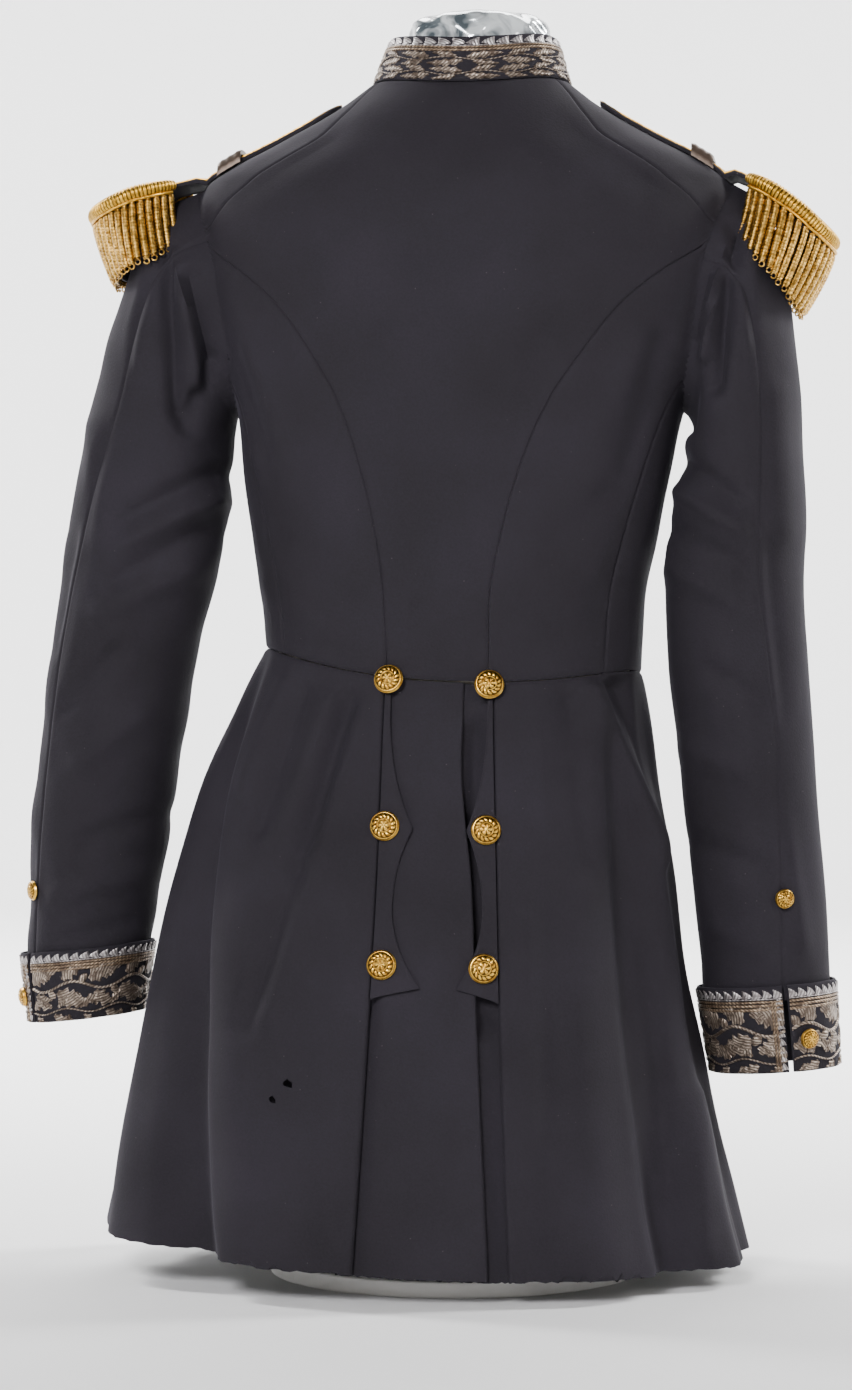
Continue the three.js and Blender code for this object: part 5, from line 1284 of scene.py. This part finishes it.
for hand, side in HANDS:
    field = FIELD[hand]
    middle_out, reach = CRESCENT[hand]

    def under(out, y):
        """Height of the underside of the field."""
        return along(field, out, "z") - BOARD["field_crown"] * (y - BOARD["y"]) ** 2

    def strap_point(v, away):
        """The underside of the strap on the shoulder's ridge."""
        ridge = on_level(BODICE, np.full_like(v, side * math.pi / 2), v)
        y = BOARD["y"] + away
        crown = ridge[..., 2] + LAY_GAP - BOARD["strap_crown"] * away ** 2
        z = np.maximum(crown, shoulder_height(ridge[..., 0], y) + LAY_GAP)
        return np.stack([ridge[..., 0], y, z], axis=-1)

    def board_rows(margin):
        """Rows across the board from the button end to the tip, each with its half breadth less a margin."""
        rows = []
        across = np.linspace(-1, 1, BOARD_COLUMNS)
        for v in np.linspace(STRAP["v"][-1], STRAP["v"][0], STRAP_ROWS):
            half = max(2.0, float(along(STRAP, v, "breadth")) - margin)
            rows.append(strap_point(np.full(BOARD_COLUMNS, v), across * half))
        for out in np.linspace(FIELD_START, field["out"][-1] - margin * 0.6, FIELD_ROWS):
            half = max(2.0, float(along(field, out, "breadth")) - margin)
            y = BOARD["y"] + across * half
            x = np.full(BOARD_COLUMNS, BOARD["x"] + side * out)
            rows.append(np.stack([x, y, under(out, y)], axis=-1))
        return np.array(rows)

    low = board_rows(0.0)
    up = np.zeros_like(low) + [0, 0, 1]
    left, right = edge_distance(low, 1)
    soft = -0.9 * np.exp(-(np.minimum(left, right) / 1.2) ** 2)
    board = cloth_piece("epaulette_board_" + hand + "_cloth", low + up * (BOARD["thick"] + soft)[..., None],
                        up, BOARD["thick"] - 0.9)
    finish_piece(board, "wool_cloth", WOOL, "epaulette_board_" + hand)

    # Gold lace on the board: two bands along the edges of the strap, joined over the field.
    lace_low = board_rows(2.2)
    bands = np.zeros((len(lace_low) - 1, BOARD_COLUMNS - 1), bool)
    bands[:, :5] = True
    bands[:, -5:] = True
    bands[STRAP_ROWS + 6:, :] = True
    lift = BOARD["thick"] + 0.75 + 0.12 * np.sin(np.arange(len(lace_low)) * 2.1)
    lace = cloth_piece("gold_lace_" + hand, lace_low + up * lift[:, None, None], up, 1.0, bands)
    mark_relief(lace, np.ones(len(lace.data.vertices)))
    finish_piece(lace, "gold_bullion", LACE_GOLD)

    def rim(turn, inset=0.0):
        """The line round the field, half way up the board."""
        out = middle_out + (reach - inset) * np.cos(turn)
        y = BOARD["y"] - (CRESCENT_BREADTH - inset) * np.sin(turn)
        return np.stack([BOARD["x"] + side * out, y, under(out, y) + BOARD["thick"] / 2], axis=-1)

    # The roll is wound with wire over a core, so ribs stand round it, and it tapers to both ends.
    sweep = math.radians(ROLL["sweep"])
    line = rim(np.linspace(-sweep, sweep, 900))
    length = run_length(line)
    even = np.linspace(0, length[-1], 760)
    line = np.stack([np.interp(even, length, line[:, axis]) for axis in range(3)], axis=1)
    taper = np.minimum(1, np.minimum(even, length[-1] - even) / 30)
    radius = ROLL["tip"] + (ROLL["radius"] - ROLL["tip"]) * np.sqrt(taper)
    ribs = np.abs(np.sin(math.pi * even / ROLL["rib"]))
    radius += ROLL["rib_depth"] * (ribs - 0.7)
    # Painted shade: the ribs' relief darkens the gaps between them in the roll's colour.
    join_tubes("wound_roll_" + hand, [sweep_tube(line, radius, 16, np.array([0.0, 0.0, 1.0]), ribs)],
               "gold_bullion", ROLL_GOLD, "epaulette_crescent_" + hand)

    def fall(turn, down):
        """A line of the fringe: from under the roll it curves in to the arm, and out behind and before it."""
        out = middle_out + reach * np.cos(turn)
        slope = (under(out + 1, 0) - under(out - 1, 0)) / 2
        line = np.repeat(rim(np.array([turn])), len(down), axis=0)
        tip, back = FRINGE_LEAN[hand]
        line[:, 0] -= side * tip * (0.45 + 0.55 * max(0.0, math.cos(turn))) * (down / 44) ** 1.3
        line[:, 1] -= back * math.sin(turn) * np.abs(math.sin(turn)) * np.sin(down / 44 * 1.4)
        line[:, 2] -= (ROLL["radius"] + 0.2) * math.hypot(1, slope) + down
        return line

    # A thin gold cord lies in the corner between the roll and the fringe.
    fringe_sweep = math.radians(FRINGE["sweep"])
    cord_turns = np.linspace(-fringe_sweep, fringe_sweep, 190)
    bead = np.array([fall(turn, np.array([0.0]))[0] for turn in cord_turns])
    bead += (rim(cord_turns, -2.6) - rim(cord_turns)) * [1, 1, 0] + [0, 0, 1.0]
    join_tubes("gold_cord_" + hand, [sweep_tube(bead, 1.35, 8, np.array([0.0, 0.0, 1.0]))],
               "gold_bullion", ROLL_GOLD)

    # Each bullion is a close coil of wire that ends in an open loop.
    draw = random.Random(60 + side)
    coils = []
    for turn in np.linspace(-fringe_sweep, fringe_sweep, FRINGE["coils"]):
        past = max(0.0, (abs(math.degrees(turn)) - FRINGE["full"]) / (FRINGE["sweep"] - FRINGE["full"]))
        hang = FRINGE["length"] + (FRINGE["short"] - FRINGE["length"]) * past + draw.uniform(-0.8, 0.8)
        down = np.linspace(0, hang, 104)
        line = fall(turn, down)
        line[:, :2] += np.array([draw.uniform(-1, 1), draw.uniform(-1, 1)]) * 0.6 * (down / hang)[:, None]
        out = (rim(np.array([turn]), -1.0)[0] - rim(np.array([turn]))[0]) * [1, 1, 0]
        out /= np.linalg.norm(out)
        body = FRINGE["radius"] * np.where(down > hang - 1.2, 0.75, 1) * np.clip(0.72 + down / 9, 0, 1)
        wire = np.abs(np.sin(math.pi * down / FRINGE["turn"]))
        # Painted shade: the relief of each turn darkens the gaps between turns in the coil's colour.
        coils.append(sweep_tube(line, body + 0.5 * wire - 0.3, 9, out, 0.25 + 0.75 * wire))
        around = np.linspace(0.3, 2 * math.pi - 0.2, 12)
        across = np.cross(out, [0.0, 0.0, 1.0])
        loop = (line[-1] + np.array([0, 0, -1.7]) + 2.0 * (np.cos(around)[:, None] * across
                + np.sin(around)[:, None] * np.array([0, 0, 1.0])))
        coils.append(sweep_tube(loop, 0.6, 6, out))
    join_tubes("bullion_fringe_" + hand, coils, "gold_bullion", COIL_GOLD, "epaulette_fringe_" + hand)

    # The liner is a black band that keeps the fringe off the sleeve.
    turn = np.linspace(-math.radians(LINER["sweep"]), math.radians(LINER["sweep"]), 72)
    rows = []
    for share in np.linspace(0, 1, 14):
        band = rim(turn, LINER["inset"] - 2.5 * share)
        band[:, 0] -= side * FRINGE_LEAN[hand][0] * 0.9 * share * np.clip(np.cos(turn), 0, 1)
        band[:, 1] -= 11 * np.sin(turn) * np.abs(np.sin(turn)) * share
        band[:, 2] -= BOARD["thick"] / 2 + LAY_GAP + share * LINER["length"]
        rows.append(band)
    grid = np.array(rows)
    inside = np.array([BOARD["x"] + side * middle_out, BOARD["y"], 800.0])
    liner = cloth_piece("epaulette_liner_" + hand + "_cloth", grid, grid_normals(grid, inside),
                        LINER["thick"])
    finish_piece(liner, "wool_cloth", WOOL, "epaulette_liner_" + hand)

    # The passant: a worked loop that holds the strap, with three twisted ridges.
    shares = np.linspace(-1, 1, 60)
    rows = []
    ridge = [0, 0.9, 0.3, 0.9, 0.3, 0.9, 0]
    for i, v in enumerate(np.linspace(PASSANT["from"], PASSANT["to"], 13)):
        away = PASSANT["reach"] * shares
        row = strap_point(np.full(60, v), away)
        arch = np.clip((1 - np.abs(shares)) / 0.16, 0, 1)
        row[:, 2] += (BOARD["thick"] + LAY_GAP + 1.4) * arch * (2 - arch)
        row[:, 2] += PASSANT["thick"] + 1.1 * np.interp(i / 2, range(7), ridge)
        row[:, 2] += 0.4 * np.abs(np.sin(away * 1.1 + i * 0.8))
        rows.append(row)
    grid = np.array(rows)
    up = np.zeros_like(grid) + [0, 0, 1]
    passant = cloth_piece("worked_passant_" + hand, grid, up, PASSANT["thick"])
    finish_piece(passant, "embroidered_cloth", LEAF_THREAD, "passant_" + hand)


# Studio: a pale floor that curves up into a wall all round, a soft key light over the camera, a weak one on
# the right, and lamps behind the tunic for the ground.
def pale_paint():
    # Matt emulsion paint on a studio floor: an even pale grey.
    material, _, surface = new_material("pale_studio_paint", Roughness=0.9)
    surface.inputs["Base Color"].default_value = linear("#d6d6d6")
    return material


FLOOR = {"reach": 4.2, "cove": 1.6, "wall": 4.5}
FLOOR_SIDES = 96
profile = [(0.0, 0.0), (FLOOR["reach"], 0.0)]
for a in np.linspace(0.1, math.pi / 2, 12):
    profile.append((FLOOR["reach"] + FLOOR["cove"] * math.sin(a),
                    FLOOR["cove"] - FLOOR["cove"] * math.cos(a)))
profile.append((FLOOR["reach"] + FLOOR["cove"], FLOOR["wall"]))
turns = np.linspace(0, 2 * math.pi, FLOOR_SIDES + 1)[:-1]
points = [(0.0, 0.0, 0.0)]
for radius, z in profile[1:]:
    points += [(radius * math.cos(a), radius * math.sin(a), z) for a in turns]
faces = [(0, 1 + i, 1 + (i + 1) % FLOOR_SIDES) for i in range(FLOOR_SIDES)]
for row in range(len(profile) - 2):
    low, high = 1 + row * FLOOR_SIDES, 1 + (row + 1) * FLOOR_SIDES
    for i in range(FLOOR_SIDES):
        j = (i + 1) % FLOOR_SIDES
        faces.append((low + i, high + i, high + j, low + j))
floor = bpy.data.objects.new("studio_floor", bpy.data.meshes.new("studio_floor"))
floor.data.from_pydata(points, [], faces)
floor.data.shade_smooth()
floor.data.materials.append(pale_paint())
bpy.context.scene.collection.objects.link(floor)

world = bpy.data.worlds.new("studio_air")
world.use_nodes = True
world.node_tree.nodes["Background"].inputs["Color"].default_value = linear("#f2f3f5")
world.node_tree.nodes["Background"].inputs["Strength"].default_value = 0.1
bpy.context.scene.world = world

CAMERA_TURN = 7
CAMERA_DISTANCE = 3.0
CAMERA_SIDE = -0.022
CAMERA_HEIGHT = 0.471
LENS = 102.2
TILT = 0.65
turn = math.radians(CAMERA_TURN)
to_right = Vector((math.cos(turn), math.sin(turn), 0))
forward = Vector((-math.sin(turn), math.cos(turn), 0))
spot = to_right * CAMERA_SIDE - forward * CAMERA_DISTANCE + Vector((0, 0, CAMERA_HEIGHT))


def softbox(name, place, aim, size, power, colour):
    """A rectangular lamp at a place, turned to what it lights."""
    light = bpy.data.lights.new(name, "AREA")
    light.shape = "RECTANGLE"
    light.size = size[0]
    light.size_y = size[1]
    light.energy = power
    light.color = linear(colour)[:3]
    lamp = bpy.data.objects.new(name, light)
    lamp.location = place
    lamp.rotation_euler = (Vector(aim) - Vector(place)).to_track_quat("-Z", "Y").to_euler()
    bpy.context.scene.collection.objects.link(lamp)


chest = (0, 0, 0.55)
softbox("key_softbox", (-0.6, -3.1, 1.9), chest, (0.8, 1.0), 146, "#fdfcff")
softbox("fill_softbox", (2.7, -1.7, 1.4), chest, (0.9, 1.2), 20, "#fffaf4")
softbox("ground_lamp_left", (-2.6, 1.2, 2.4), (-0.8, 4.6, 0.4), (1.4, 1.0), 480, "#ffffff")
softbox("ground_lamp_right", (2.6, 1.2, 2.4), (0.8, 4.6, 0.4), (1.4, 1.0), 480, "#ffffff")
softbox("floor_lamp", (0.0, 2.2, 3.2), (0.0, 1.8, 0.0), (3.0, 1.6), 170, "#ffffff")

camera = bpy.data.objects.new("photo_camera", bpy.data.cameras.new("photo_camera"))
camera.data.lens = LENS
camera.data.sensor_width = 36
camera.data.sensor_fit = "AUTO"
camera.location = spot
camera.rotation_euler = (math.radians(90 - TILT), 0, turn)
bpy.context.scene.collection.objects.link(camera)
bpy.context.scene.camera = camera
